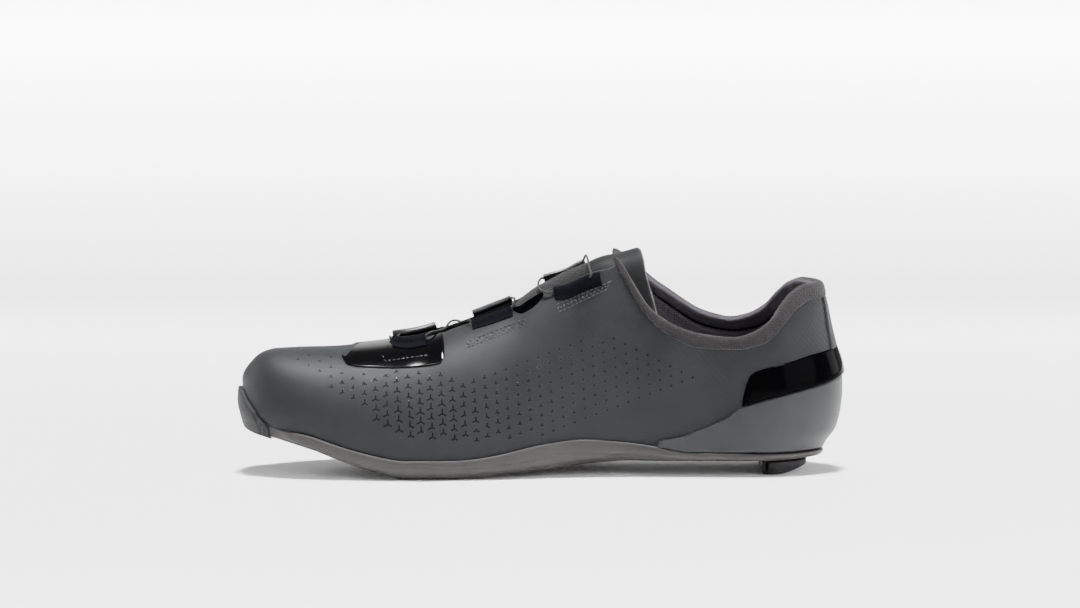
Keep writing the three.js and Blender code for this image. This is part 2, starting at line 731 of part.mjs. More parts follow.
// Tongue: a padded strip inside the throat, whose end slants down to both sides.
function tongueGeometry() {
  const columns = 16;
  const rows = 10;
  const sections = [];
  for (let i = 0; i <= columns; i += 1) {
    const over = [];
    const under = [];
    for (let j = 0; j <= rows; j += 1) {
      const across = (2 * j) / rows - 1;
      const end = 0.696 + 0.014 * Math.abs(across) ** 1.2;
      const along = 0.205 + ((end - 0.205) * i) / columns;
      const angle = stationAngle(along);
      const longer = 1 + 0.3 * THREE.MathUtils.smoothstep(along, 0.57, 0.68);
      const reach = Math.min(1, 0.55 + 1.2 * (along - 0.205)) * tongueHang * longer;
      const width = halfWidth(along) * Math.sin(angle);
      const fall = Math.acos(Math.min(0.92, reach / width) ** (squareOf(along) / 2));
      const rise = across < 0 ? halfTurn + (halfTurn - fall) * across : halfTurn - (halfTurn - fall) * across;
      const way = across < 0 ? angle : -angle;
      const thin = Math.min(1, 1.7 - Math.abs(across)) * Math.min(1, 0.5 + (columns - i) / 3);
      const inward = THREE.MathUtils.smoothstep(along, 0.565, 0.625)
        * THREE.MathUtils.smoothstep(Math.abs(across), 0.25, 0.8);
      const top = -wall - tongueClearance - rollThickness * 0.7 * inward;
      over.push(offsetPoint(way, rise, top, tongueRidge));
      under.unshift(offsetPoint(way, rise, top - tongueThickness * thin, tongueRidge));
    }
    sections.push([...over, ...under]);
  }
  return solidGeometry([
    ...loftFaces(sections, { ring: true }),
    ...capFaces(sections[0], false),
    ...capFaces(sections[columns], true),
  ]);
}

// Toe bumper: a rubber cap that hooks over the front of the upper and under the edge of the sole.
function bumperGeometry() {
  const columns = 20;
  const sections = [];
  for (let i = 0; i <= columns; i += 1) {
    const share = (2 * i) / columns - 1;
    const angle = share * bumperHalfTurn;
    const along = alongOf(angle);
    const low = featherHeight(along);
    const under = undersideHeight(along);
    const tall = bumperShare(Math.abs(share)) * (toeHeight - low);
    const top = riseAtHeight(along, low + tall);
    const middle = riseAtHeight(along, low + tall / 2);
    sections.push([
      offsetPoint(angle, top, bumperProud - 0.8),
      offsetPoint(angle, middle, bumperProud),
      edgePoint(angle, bumperProud, low + 0.5),
      edgePoint(angle, 1.3, under + 0.2),
      edgePoint(angle, -3, under - 1.5),
      edgePoint(angle, -3, under - 0.1),
      edgePoint(angle, 0.5, under - 0.3),
      edgePoint(angle, 0.75, low + 0.3),
      offsetPoint(angle, middle, 0.6),
      offsetPoint(angle, top, seat),
    ]);
  }
  return solidGeometry([
    ...loftFaces(sections, { ring: true }),
    ...capFaces(sections[0], false),
    ...capFaces(sections[columns], true),
  ]);
}

// Rubber block under the heel, with a straight front and a round back.
function heelPadGeometry() {
  const front = plainX(0.868, instepHeight * 0.37);
  const back = plainX(0.945, instepHeight * 0.37);
  const half = heelWidth * 0.36;
  const corner = half * 0.75;
  const outline = new THREE.Shape();
  outline.moveTo(front, -half + 3);
  outline.lineTo(front + 3, -half);
  outline.lineTo(back - corner, -half);
  outline.quadraticCurveTo(back, -half * 0.95, back, 0);
  outline.quadraticCurveTo(back, half * 0.95, back - corner, half);
  outline.lineTo(front + 3, half);
  outline.lineTo(front, half - 3);
  const bevel = 1;
  return slabGeometry(outline.getPoints(8), [
    { z: 0, inset: bevel },
    { z: bevel, inset: 0 },
    { z: padHeight, inset: 0 },
  ]);
}

function heelCupGeometry() {
  const start = stationAngle(0.700);
  const at = (u, w) => {
    const angle = start + (2 * Math.PI - 2 * start) * u;
    const along = alongOf(angle);
    const foot = featherHeight(along) - seat;
    const lip = isLateral(angle) ? lipLateral(along) : lipMedial(along);
    const low = foot + lip * soleThickness + 0.4;
    const high = Math.max(cupShare(along) * instepHeight, low + 0.8);
    return [angle, riseAtHeight(along, low + (high - low) * w)];
  };
  const outer = (u, w) => cupProud * (w > 0.99 ? 0.8 : 1);
  return solidGeometry(stripFaces({ columns: 32, rows: 4, at, inner: () => seat, outer }));
}

function glossBandGeometry() {
  const start = stationAngle(0.834);
  const at = (u, w) => {
    const angle = start + (2 * Math.PI - 2 * start) * u;
    const along = alongOf(angle);
    const low = cupShare(along) * instepHeight + 0.4;
    const high = Math.max(bandShare(along) * instepHeight, low + 1);
    return [angle, riseAtHeight(along, low + (high - low) * w)];
  };
  const outer = (u, w) => {
    const middle = Math.sin(Math.PI * u) ** 2;
    const flare = cupProud * 0.8 + (bandProud - cupProud * 0.8) * middle;
    return seat + (flare - seat) * (1 - 0.75 * w ** 1.5);
  };
  return solidGeometry(stripFaces({ columns: 28, rows: 3, at, inner: () => seat, outer }));
}

function heelStripGeometry() {
  const half = 0.17;
  const at = (u, w) => {
    const angle = Math.PI + half * (2 * u - 1) * (1.25 - 0.4 * w);
    const along = alongOf(angle);
    const low = bandShare(along) * instepHeight + 0.5;
    const high = collarHeight(angle) - rollWidth(angle) - 1.2;
    return [angle, riseAtHeight(along, low + (high - low) * w)];
  };
  return solidGeometry(stripFaces({ columns: 6, rows: 5, at, inner: () => seat, outer: () => stripProud }));
}

// Polished film: two sides that meet on the ridge in front of the throat.
function filmGeometry() {
  const first = filmRows[0].along;
  const last = filmRows[filmRows.length - 1].along;
  const half = (lateral) => {
    const at = (u, w) => {
      const along = first + (last - first) * u ** 1.3;
      const angle = lateral ? 2 * Math.PI - stationAngle(along) : stationAngle(along);
      const low = riseAtHeight(along, filmShare(along) * toeHeight);
      const lead = THREE.MathUtils.smoothstep(along, first - 0.002, first + 0.034);
      const ridge = low + (halfTurn + 0.004 - low) * (0.1 + 0.9 * lead);
      const edge = along < throatStart ? ridge : riseBelow(angle, edgeRise(angle), 0.6);
      const meet = THREE.MathUtils.smoothstep(along, throatStart, throatStart + 0.006);
      const high = ridge + (edge - ridge) * (along < throatStart ? 0 : meet);
      return [angle, low + (Math.max(high, low + 0.02) - low) * w];
    };
    const outer = () => patchProud;
    return toManifold(solidGeometry(stripFaces({ columns: 14, rows: 5, at, inner: () => seat, outer })));
  };
  return fromManifold(half(false).add(half(true)));
}

// Strap over the throat edge: a flat leg on the upper and a raised bridge that the lace runs under.
function bridgeGeometry({ start, end }, lateral, reach, thickness) {
  const columns = 4;
  const rows = 7;
  const base = (start < filmRows[filmRows.length - 1].along ? patchProud : 0) + strapClearance;
  const at = (u, w) => {
    const along = start + (end - start) * u;
    const angle = lateral ? 2 * Math.PI - stationAngle(along) : stationAngle(along);
    const slant = 1 + 0.08 * Math.sin(Math.PI * u);
    return [angle, riseBelow(angle, edgeRise(angle), 0.7 + (1 - w) * reach * slant)];
  };
  const raised = (w) => THREE.MathUtils.smoothstep(w, 0.55, 0.72);
  const roof = laceDiameter + 0.9;
  const inner = (u, w) => base + roof * raised(w);
  const outer = (u, w) => base + thickness + roof * raised(w) - (w < 0.01 ? 0.5 : 0);
  return solidGeometry(stripFaces({ columns, rows, at, inner, outer }));
}

// Height of the lace over the last where it runs under a bridge.
const laceOffset = (base) => base + 0.35 + laceDiameter / 2;

// Lace points: an along and a share across, -1 on the medial edge and 1 on the lateral edge.
function lacePoint(along, across, lift) {
  const angle = stationAngle(along);
  const edge = edgeRise(angle);
  const reach = Math.abs(across);
  const rise = reach > 1 ? riseBelow(angle, edge, (reach - 1) * laceDrop) : halfTurn - (halfTurn - edge) * reach;
  const ridge = reach < 0.9 ? tongueRidge : ridgeHeight;
  return offsetPoint(across < 0 ? angle : -angle, rise, lift, ridge);
}

function laceGeometry(points) {
  const curve = new THREE.CatmullRomCurve3(points, false, 'centripetal');
  const section = new THREE.Shape();
  section.absarc(0, 0, laceDiameter / 2, 0, 2 * Math.PI);
  const steps = Math.min(80, Math.round(curve.getLength() / (laceDiameter * 2.8)));
  return new THREE.ExtrudeGeometry(section, {
    steps,
    curveSegments: 3,
    extrudePath: curve,
    bevelEnabled: false,
  });
}

// Each row is a place of the lace: along, across and lift over the last.
const lowerLaceRoute = [
  { along: 0.272, across: 1.00, lift: 2.4 },
  { along: 0.266, across: 0.00, lift: -1.0 },
  { along: 0.258, across: -1.02, lift: 2.2 },
  { along: 0.266, across: -1.24, lift: 2.3 },
  { along: 0.314, across: -1.24, lift: 2.3 },
  { along: 0.330, across: -1.02, lift: 2.2 },
  { along: 0.346, across: 0.00, lift: -1.3 },
  { along: 0.352, across: 0.82, lift: -1.0 },
  { along: 0.360, across: 0.82, lift: -1.0 },
  { along: 0.366, across: 0.00, lift: -1.3 },
  { along: 0.378, across: -1.02, lift: 1.6 },
  { along: 0.392, across: -1.24, lift: 1.3 },
  { along: 0.452, across: -1.24, lift: 1.3 },
  { along: 0.468, across: -1.02, lift: 1.6 },
  { along: 0.466, across: 0.00, lift: -1.2 },
  { along: 0.458, across: 0.96, lift: 1.6 },
];
const upperLaceRoute = [
  { along: 0.522, across: 0.96, lift: 1.6 },
  { along: 0.514, across: 0.00, lift: -1.0 },
  { along: 0.518, across: -1.02, lift: 1.6 },
  { along: 0.532, across: -1.24, lift: 1.3 },
  { along: 0.586, across: -1.24, lift: 1.3 },
  { along: 0.599, across: -1.24, lift: 1.3 },
  { along: 0.606, across: -0.95, lift: 1.6 },
  { along: 0.603, across: 0.00, lift: -0.8 },
  { along: 0.598, across: 0.96, lift: 1.6 },
];

function placeOnLast(geometry, angle, rise, distance) {
  const normal = lastNormal(angle, rise);
  const turn = new THREE.Quaternion().setFromUnitVectors(new THREE.Vector3(0, 1, 0), normal);
  geometry.applyQuaternion(turn);
  const place = offsetPoint(angle, rise, distance);
  geometry.translate(place.x, place.y, place.z);
  return geometry;
}

function dialBaseGeometry() {
  const radius = dialRadius + 2;
  const profile = [
    new THREE.Vector2(0, 0),
    new THREE.Vector2(radius, 0),
    new THREE.Vector2(radius, 0.6),
    new THREE.Vector2(radius - 1.4, dialBaseHeight),
    new THREE.Vector2(0, dialBaseHeight),
  ];
  return new THREE.LatheGeometry(profile, 20);
}

// Knob: a toothed rim with a flat face.
function dialKnobGeometry() {
  const teeth = 20;
  const outline = [];
  for (let i = 0; i < teeth * 2; i += 1) {
    const radius = i % 2 ? dialRadius - 0.7 : dialRadius;
    const turn = (Math.PI * i) / teeth;
    outline.push(new THREE.Vector2(radius * Math.cos(turn), radius * Math.sin(turn)));
  }
  const geometry = slabGeometry(outline, [
    { z: 0, inset: 0 },
    { z: dialHeight - 0.9, inset: 0 },
    { z: dialHeight, inset: 0.9 },
  ]);
  geometry.rotateX(-halfTurn);
  return geometry;
}

addPart('upper', upperGeometry(), colours.upper, 0.75);
addPart('outsole', outsoleGeometry(), colours.sole, 0.6);
addPart('insole', insoleGeometry(), colours.insole, 0.9);
addPart('tongue', tongueGeometry(), colours.tongue, 0.8);
addPart('collar_binding', bindingGeometry(), colours.binding, 0.95);
addPart('toe_bumper', bumperGeometry(), colours.rubber, 0.8);
addPart('heel_pad', heelPadGeometry(), colours.rubber, 0.8);
addPart('heel_cup', heelCupGeometry(), colours.cup, 0.65);
addPart('heel_gloss_band', glossBandGeometry(), colours.gloss, 0.12);
addPart('heel_back_strip', heelStripGeometry(), colours.upper, 0.7);
addPart('throat_gloss_patch', filmGeometry(), colours.gloss, 0.1);
loopRows.forEach((row, i) => {
  addPart(`lace_loop_${i + 1}`, bridgeGeometry(row, false, loopReach, webbing), colours.webbing, 0.9);
});
guideRows.forEach((row, i) => {
  addPart(`lace_guide_${i + 1}`, bridgeGeometry(row, true, guideReach, webbing), colours.guide, 0.5);
});
const laces = { lower_lace: lowerLaceRoute, upper_lace: upperLaceRoute };
for (const [name, route] of Object.entries(laces)) {
  const points = route.map(({ along, across, lift }) => lacePoint(along, across, lift));
  addPart(name, laceGeometry(points), colours.lace, 0.6);
}
for (const { name, along } of dialRows) {
  const angle = 2 * Math.PI - stationAngle(along);
  const rise = riseBelow(angle, edgeRise(angle), dialDrop);
  const over = dialStandoff + dialBaseHeight + seat;
  addPart(`dial_base_${name}`, placeOnLast(dialBaseGeometry(), angle, rise, dialStandoff), colours.guide, 0.5);
  addPart(`dial_knob_${name}`, placeOnLast(dialKnobGeometry(), angle, rise, over), colours.metal, 0.4, 0.8);
}
for (const { name, x, y } of nutCentres()) {
  addPart(`cleat_nut_${name}`, nutGeometry().translate(x, y, 0), colours.metal, 0.4, 0.9);
}

// The origin lies under the middle of the whole shoe.
const box = new THREE.Box3().setFromObject(shoe);
shoe.position.set(-(box.min.x + box.max.x) / 2, -(box.min.y + box.max.y) / 2, -box.min.z);
shoe.updateMatrixWorld(true);

export default shoe;
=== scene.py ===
"""Road cycling shoe for the right foot: finished surfaces, materials, light and camera.

Every curved surface is worked out from the last, the form that the foot fills. Sizes are in
millimetres, -X is the toe, +X the heel, -Y the medial side, and one place turns them to metres.
"""

import math

import bmesh
import bpy
import numpy as np
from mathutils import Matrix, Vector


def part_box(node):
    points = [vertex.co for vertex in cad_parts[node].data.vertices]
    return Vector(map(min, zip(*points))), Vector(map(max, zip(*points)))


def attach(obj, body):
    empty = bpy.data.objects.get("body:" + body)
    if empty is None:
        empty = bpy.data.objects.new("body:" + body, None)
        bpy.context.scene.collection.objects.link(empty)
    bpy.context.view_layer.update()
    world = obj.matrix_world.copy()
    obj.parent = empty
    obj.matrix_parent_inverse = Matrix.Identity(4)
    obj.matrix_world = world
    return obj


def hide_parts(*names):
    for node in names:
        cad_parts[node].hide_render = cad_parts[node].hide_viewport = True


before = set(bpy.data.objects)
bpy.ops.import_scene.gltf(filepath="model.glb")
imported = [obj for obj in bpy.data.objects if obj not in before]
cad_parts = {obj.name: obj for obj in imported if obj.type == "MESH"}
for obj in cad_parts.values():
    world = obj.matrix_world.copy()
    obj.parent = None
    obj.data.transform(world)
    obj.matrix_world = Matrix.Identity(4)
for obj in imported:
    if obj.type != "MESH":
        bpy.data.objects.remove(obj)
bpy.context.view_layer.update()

# Driving sizes
SHOE_LENGTH = 280.0
BALL_WIDTH = 97.0
HEEL_WIDTH = 66.0
TOE_HEIGHT = 57.0
INSTEP_HEIGHT = 98.0
TOE_SPRING = 18.0
ARCH_HEIGHT = 6.5
SOLE_THICKNESS = 5.0
WALL = 2.0
SEAT = 0.32
BUMPER_PROUD = 2.3
BAND_PROUD = 2.5
CUP_PROUD = 1.5
PATCH_PROUD = 0.95
STRIP_PROUD = 0.9
LIP_PROUD = 1.7
INSOLE_THICKNESS = 3.0
ROLL_THICKNESS = 6.2
TONGUE_THICKNESS = 3.2
TONGUE_CLEARANCE = 0.8
LACE_DIAMETER = 1.1
DIAL_RADIUS = 10.5
DIAL_HEIGHT = 6.0
DIAL_BASE_HEIGHT = 3.2
DIAL_STANDOFF = 0.9
PAD_HEIGHT = 5.8
TONGUE_START = 0.205
TONGUE_REACH = 24.5
PAD_SPAN = (0.868, 0.945)
PLAN_LEVEL = INSTEP_HEIGHT * 0.37
NUT_ALONG = 0.315
NUT_AHEAD = 11.5
NUT_ASIDE = 17
RECESS_RADIUS = 5.82
RECESS_DEPTH = 2.4
TOE_TIP = -SHOE_LENGTH / 2 + BUMPER_PROUD
HEEL_TIP = SHOE_LENGTH / 2 - BAND_PROUD
HALF_TURN = math.pi / 2

# Plan of the last: along from toe to heel, centre, and half widths over the station's sine
PLAN = dict(
    along=[0.000, 0.027, 0.064, 0.136, 0.209, 0.282, 0.336, 0.409, 0.500, 0.591, 0.682, 0.773, 0.864, 0.918, 0.955,
           1.000],
    centre=[-0.093, -0.088, -0.074, -0.045, -0.023, -0.002, 0.015, 0.038, 0.046, 0.031, 0.019, 0.010, 0.002, 0, 0, 0],
    ball=[0.650, 0.640, 0.618, 0.578, 0.553, 0.541, 0.526, 0.420, 0.230, 0.100, 0, 0, 0, 0, 0, 0],
    heel=[0, 0, 0, 0, 0, 0, 0, 0.110, 0.291, 0.408, 0.541, 0.597, 0.721, 0.815, 0.836, 0.818],
)
# Ridge of the last, as shares of the toe box height and the instep height
RIDGE = dict(
    along=[0.000, 0.014, 0.027, 0.040, 0.060, 0.136, 0.209, 0.245, 0.305, 0.336, 0.422, 0.481, 0.510, 0.565, 0.612,
           0.664, 0.718, 0.827, 1.000],
    toe=[0.745, 0.886, 0.946, 0.977, 0.995, 1.000, 0.800, 0.600, 0.400, 0.300, 0.150, 0, 0, 0, 0, 0, 0, 0, 0],
    instep=[0, 0, 0, 0, 0, 0, 0.130, 0.258, 0.403, 0.489, 0.665, 0.837, 0.893, 0.985, 1.130, 1.190, 1.200, 1.185,
            1.160],
)
# Ridge that the tongue follows
TONGUE_RIDGE = dict(
    along=[0.180, 0.209, 0.245, 0.305, 0.336, 0.422, 0.481, 0.510, 0.565, 0.612, 0.650, 0.700],
    toe=[0.900, 0.800, 0.600, 0.400, 0.300, 0.150, 0, 0, 0, 0, 0, 0],
    instep=[0.068, 0.130, 0.258, 0.403, 0.489, 0.665, 0.837, 0.890, 0.960, 1.015, 1.045, 1.075],
)
# Section shape: 2 is round, more is squarer
SQUARE = dict(along=[0.000, 0.140, 0.336, 0.500, 0.700, 1.000], square=[2.5, 2.35, 2.3, 2.3, 2.35, 2.25])
# Underside of the sole, and the thickness up to the footbed
SOLE = dict(
    along=[0.000, 0.035, 0.098, 0.163, 0.230, 0.265, 0.357, 0.400, 0.450, 0.500, 0.585, 0.660, 1.000],
    spring=[1.200, 1.000, 0.739, 0.389, 0.095, 0, 0, 0, 0, 0, 0, 0, 0],
    arch=[0, 0, 0, 0, 0, 0, 0, 0.060, 0.250, 0.420, 0.780, 1.000, 1.000],
    thick=[0.52, 0.80, 0.90, 0.95, 1.00, 1.03, 1.00, 1.00, 1.02, 1.03, 0.90, 0.62, 0.55],
)
# Side lip of the sole and its crease, in sole thicknesses over the footbed
LIP = dict(
    along=[0.000, 0.045, 0.100, 0.163, 0.265, 0.357, 0.430, 0.500, 0.555, 0.620, 0.690, 0.768, 1.000],
    medial=[0.05, 0.30, 0.55, 0.60, 0.80, 0.85, 1.05, 1.50, 1.65, 1.40, 1.00, 0.35, 0.18],
    lateral=[0.05, 0.30, 0.50, 0.60, 0.80, 0.85, 0.80, 0.80, 0.75, 0.60, 0.50, 0.35, 0.18],
    crease=[0.00, -0.20, -0.35, -0.45, 0.30, 0.30, 0.20, 0.35, 0.45, 0.35, 0.15, -0.15, -0.22],
)
TOE_FRONT = dict(height=[0.00, 0.36, 0.44, 0.55, 3.00], back=[0.50, 0.22, 0.08, 0, 0])
HEEL_BACK = dict(
    height=[0.00, 0.09, 0.14, 0.205, 0.29, 0.37, 0.46, 0.58, 0.67, 0.78, 0.86, 0.94, 1.40],
    inset=[0.18, 0.145, 0.113, 0.045, 0.012, 0, 0.002, 0.028, 0.060, 0.094, 0.125, 0.160, 0.300],
)
THROAT = dict(
    along=[0.245, 0.256, 0.282, 0.336, 0.422, 0.460, 0.481, 0.505, 0.565, 0.612, 0.635, 0.648, 0.660, 0.680],
    gap=[0, 0.105, 0.165, 0.195, 0.220, 0.228, 0.262, 0.262, 0.300, 0.345, 0.345, 0.340, 0.220, 0],
)
COLLAR = dict(
    along=[0.560, 0.630, 0.648, 0.659, 0.667, 0.674, 0.681, 0.689, 0.700, 0.715, 0.733, 0.757, 0.781, 0.807, 0.833,
           0.862, 0.893, 0.928, 0.950, 0.975, 1.000],
    medial=[1.300, 1.120, 1.045, 1.010, 0.972, 0.925, 0.876, 0.826, 0.782, 0.746, 0.714, 0.686, 0.669, 0.659, 0.656,
            0.676, 0.722, 0.812, 0.860, 0.890, 0.895],
    lateral=[1.300, 1.120, 1.045, 1.020, 1.003, 0.985, 0.965, 0.943, 0.915, 0.873, 0.834, 0.781, 0.735, 0.708, 0.694,
             0.709, 0.750, 0.832, 0.876, 0.900, 0.895],
    roll=[0.050, 0.050, 0.058, 0.080, 0.096, 0.098, 0.090, 0.078, 0.071, 0.071, 0.073, 0.075, 0.070, 0.064, 0.060,
          0.067, 0.078, 0.083, 0.078, 0.078, 0.080],
    lateral_roll=[0.050, 0.050, 0.058, 0.062, 0.066, 0.068, 0.070, 0.072, 0.074, 0.076, 0.076, 0.076, 0.072, 0.066,
                  0.062, 0.067, 0.078, 0.083, 0.078, 0.078, 0.080],
)
COLLAR_START = 0.648
CUP = dict(
    along=[0.700, 0.735, 0.760, 0.786, 0.809, 0.821, 0.832, 0.865, 0.914, 0.970, 1.000],
    top=[0.165, 0.182, 0.211, 0.244, 0.276, 0.306, 0.324, 0.355, 0.391, 0.425, 0.458],
)
BAND = dict(
    along=[0.834, 0.840, 0.848, 0.862, 0.914, 0.960, 1.000],
    top=[0.360, 0.430, 0.478, 0.500, 0.536, 0.566, 0.590],
)
# Toe bumper: its height above the feather edge, as a share of the room up to the toe height
BUMPER = dict(turn=[0.00, 0.35, 0.60, 0.80, 0.90, 1.00], top=[0.465, 0.407, 0.297, 0.200, 0.125, 0.060])
BUMPER_HALF_TURN = 0.40
FILM = dict(
    along=[0.169, 0.178, 0.200, 0.260, 0.318, 0.334, 0.342],
    low=[0.955, 0.905, 0.885, 0.880, 0.905, 0.925, 0.970],
)


def station(along):
    """Angle round the shoe of a share of its length: 0 at the toe, pi at the heel."""
    return np.arccos(np.clip(1 - 2 * np.asarray(along, float), -1, 1))


def along_of(angle):
    """Share of the shoe's length at an angle round it."""
    return (1 - np.cos(angle)) / 2


def curve(table, out, key="along"):
    """Smooth curve through a table's rows: a cubic whose slope is the harmonic mean of its neighbours."""
    as_angle = station if key == "along" else (lambda value: np.asarray(value, float))
    xs = as_angle(table[key])
    ys = np.asarray(table[out], float)
    slopes = np.diff(ys) / np.diff(xs)
    before, after = slopes[:-1], slopes[1:]
    same = before * after > 0
    mean = np.where(same, 2 * before * after / np.where(same, before + after, 1), 0)
    tangents = np.concatenate([slopes[:1], mean, slopes[-1:]])

    def at(value):
        x = np.clip(as_angle(value), xs[0], xs[-1])
        i = np.clip(np.searchsorted(xs, x, side="left") - 1, 0, len(xs) - 2)
        step = xs[i + 1] - xs[i]
        t = (x - xs[i]) / step
        return (
            (2 * t**3 - 3 * t**2 + 1) * ys[i]
            + (t**3 - 2 * t**2 + t) * step * tangents[i]
            + (3 * t**2 - 2 * t**3) * ys[i + 1]
            + (t**3 - t**2) * step * tangents[i + 1]
        )

    return at


centre_share, ball_share, heel_share = (curve(PLAN, key) for key in ("centre", "ball", "heel"))
ridge_toe, ridge_instep = curve(RIDGE, "toe"), curve(RIDGE, "instep")
tongue_toe, tongue_instep = curve(TONGUE_RIDGE, "toe"), curve(TONGUE_RIDGE, "instep")
square_of = curve(SQUARE, "square")
spring_share, arch_share, thick_share = (curve(SOLE, key) for key in ("spring", "arch", "thick"))
lip_medial, lip_lateral, crease_share = (curve(LIP, key) for key in ("medial", "lateral", "crease"))
toe_back = curve(TOE_FRONT, "back", "height")
heel_inset = curve(HEEL_BACK, "inset", "height")
gap_share = curve(THROAT, "gap")
collar_medial, collar_lateral = curve(COLLAR, "medial"), curve(COLLAR, "lateral")
roll_medial, roll_lateral = curve(COLLAR, "roll"), curve(COLLAR, "lateral_roll")
cup_share, band_share, film_share = curve(CUP, "top"), curve(BAND, "top"), curve(FILM, "low")
bumper_share = curve(BUMPER, "top", "turn")


def half_width(along):
    """Half the last's width, before the sine of the station."""
    return ball_share(along) * BALL_WIDTH + heel_share(along) * HEEL_WIDTH


def underside_height(along):
    """Height of the sole's underside: toe spring in front, arch behind the ball."""
    return spring_share(along) * TOE_SPRING + arch_share(along) * ARCH_HEIGHT


def feather_height(along):
    """Height of the feather edge, where the upper meets the sole."""
    return underside_height(along) + thick_share(along) * SOLE_THICKNESS + SEAT


def ridge_height(along):
    """Height of the last's ridge: shares of the toe and instep heights, added."""
    return ridge_toe(along) * TOE_HEIGHT + ridge_instep(along) * INSTEP_HEIGHT


def tongue_ridge(along):
    """Height of the ridge that the tongue follows."""
    return tongue_toe(along) * TOE_HEIGHT + tongue_instep(along) * INSTEP_HEIGHT


def plain_x(along, z):
    """Fore and aft place: every height is stretched between its own toe front and heel back."""
    front = TOE_TIP + toe_back(z / TOE_HEIGHT) * TOE_SPRING
    back = HEEL_TIP - heel_inset(z / INSTEP_HEIGHT) * HEEL_WIDTH
    return front + (back - front) * along


def last(angle, rise, ridge=ridge_height):
    """Point of the last: a superellipse section over the feather edge, narrowed a little at its foot."""
    angle, rise = np.broadcast_arrays(np.asarray(angle, float), np.asarray(rise, float))
    over = rise > HALF_TURN
    angle = np.where(over, -angle, angle)
    rise = np.where(over, math.pi - rise, rise)
    along = along_of(angle)
    power = 2 / square_of(along)
    low = feather_height(along)
    z = low + (ridge(along) - low) * np.sin(np.maximum(rise, 0)) ** power
    across = np.maximum(np.cos(rise), 0) ** power
    pull = 1 - 0.07 * (1 - np.minimum(1, rise / 0.6)) ** 2
    y = centre_share(along) * BALL_WIDTH - half_width(along) * np.sin(angle) * across * pull
    return np.stack([plain_x(along, z), y, z], axis=-1)


def unit(vectors):
    """Vectors of length 1."""
    return vectors / np.maximum(np.linalg.norm(vectors, axis=-1, keepdims=True), 1e-12)


def normal(angle, rise, ridge=ridge_height, step=2e-3):
    """Outward direction: the cross product of the slopes round and up the last."""
    rise = np.asarray(rise, float)
    around = last(angle + step, rise, ridge) - last(angle - step, rise, ridge)
    up = last(angle, rise + step, ridge) - last(angle, np.maximum(rise - step, 0), ridge)
    return unit(np.cross(around, up))


def offset(angle, rise, distance, ridge=ridge_height):
    """Point of the last moved outward by a distance."""
    distance = np.asarray(distance, float)
    return last(angle, rise, ridge) + normal(angle, rise, ridge) * distance[..., None]


def edge_point(angle, outward, z):
    """Point beside the feather edge, moved outward in plan, at a given height."""
    angle, outward, z = np.broadcast_arrays(*(np.asarray(v, float) for v in (angle, outward, z)))
    here = last(angle, 0.0)
    around = last(angle + 1e-3, 0.0) - last(angle - 1e-3, 0.0)
    around[..., 2] = 0
    around = unit(around)
    return np.stack([here[..., 0] + around[..., 1] * outward, here[..., 1] - around[..., 0] * outward, z], axis=-1)


def spine_point(angle, z, shrink=0.8):
    """Point on the shoe's middle line, drawn in at both ends, at a height."""
    along = 0.5 + (along_of(angle) - 0.5) * shrink
    x = plain_x(along, PLAN_LEVEL)
    return np.stack(np.broadcast_arrays(x, centre_share(along) * BALL_WIDTH, np.asarray(z, float)), axis=-1)


def rise_at_height(along, z, ridge=ridge_height):
    """Rise at which the section reaches a height."""
    low = feather_height(along)
    share = np.clip((z - low) / (ridge(along) - low), 0, 1)
    return np.arcsin(share ** (square_of(along) / 2))


def rise_at_gap(along, gap):
    """Rise at which the section is a gap away from the middle line."""
    width = half_width(along) * np.maximum(np.sin(station(along)), 1e-9)
    return np.arccos(np.clip(gap / width, 0, 1) ** (square_of(along) / 2))


def collar_height(angle):
    """Height of the collar's top line, read for each side from its own column."""
    along = along_of(angle)
    return np.where(np.sin(angle) < -1e-9, collar_lateral(along), collar_medial(along)) * INSTEP_HEIGHT


def roll_width(angle):
    """How far the padded roll reaches down from the collar's top line."""
    along = along_of(angle)
    return np.where(np.sin(angle) < -1e-9, roll_lateral(along), roll_medial(along)) * INSTEP_HEIGHT


def edge_rise(angle):
    """Rise of the upper's top edge: the ridge, then the throat edge, then under the collar roll."""
    along = along_of(angle)
    throat = rise_at_gap(along, gap_share(along) * HEEL_WIDTH)
    collar = rise_at_height(along, collar_height(angle) - roll_width(angle))
    return np.where(along < THROAT["along"][0] + 1e-6, HALF_TURN, np.minimum(throat, collar))


def rise_below(angle, start, length, ridge=ridge_height):
    """Rise that lies a length in millimetres down the surface from a rise."""
    steps, small = 12, 1e-3
    rise = np.asarray(start, float) + np.zeros(np.broadcast(angle, start, length).shape)
    for _ in range(steps):
        slope = last(angle, rise, ridge) - last(angle, rise - small, ridge)
        rise = rise - length / steps / (np.linalg.norm(slope, axis=-1) / small)
    return rise


def smooth(value, low, high):
    """0 below low, 1 above high and a smooth cubic between."""
    t = np.clip((value - low) / (high - low), 0, 1)
    return t * t * (3 - 2 * t)


# The frame's origin lies under the middle of the whole shoe; the heel pad tells where that is.
pad_low, pad_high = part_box("heel_pad")
SHIFT = np.array([
    pad_low[0] * 1000 - float(plain_x(PAD_SPAN[0], PLAN_LEVEL)),
    (pad_low[1] + pad_high[1]) * 500,
    0.0,
])


def grid_quads(columns, rows, close_columns=False, close_rows=False):
    """Corner numbers of the quads of a grid of points, whole array at once."""
    i = np.arange(columns if close_columns else columns - 1)
    j = np.arange(rows if close_rows else rows - 1)
    i, j = (a.ravel() for a in np.meshgrid(i, j, indexing="ij"))
    i2, j2 = (i + 1) % columns, (j + 1) % rows
    return np.stack([i * rows + j, i2 * rows + j, i2 * rows + j2, i * rows + j2], axis=-1)


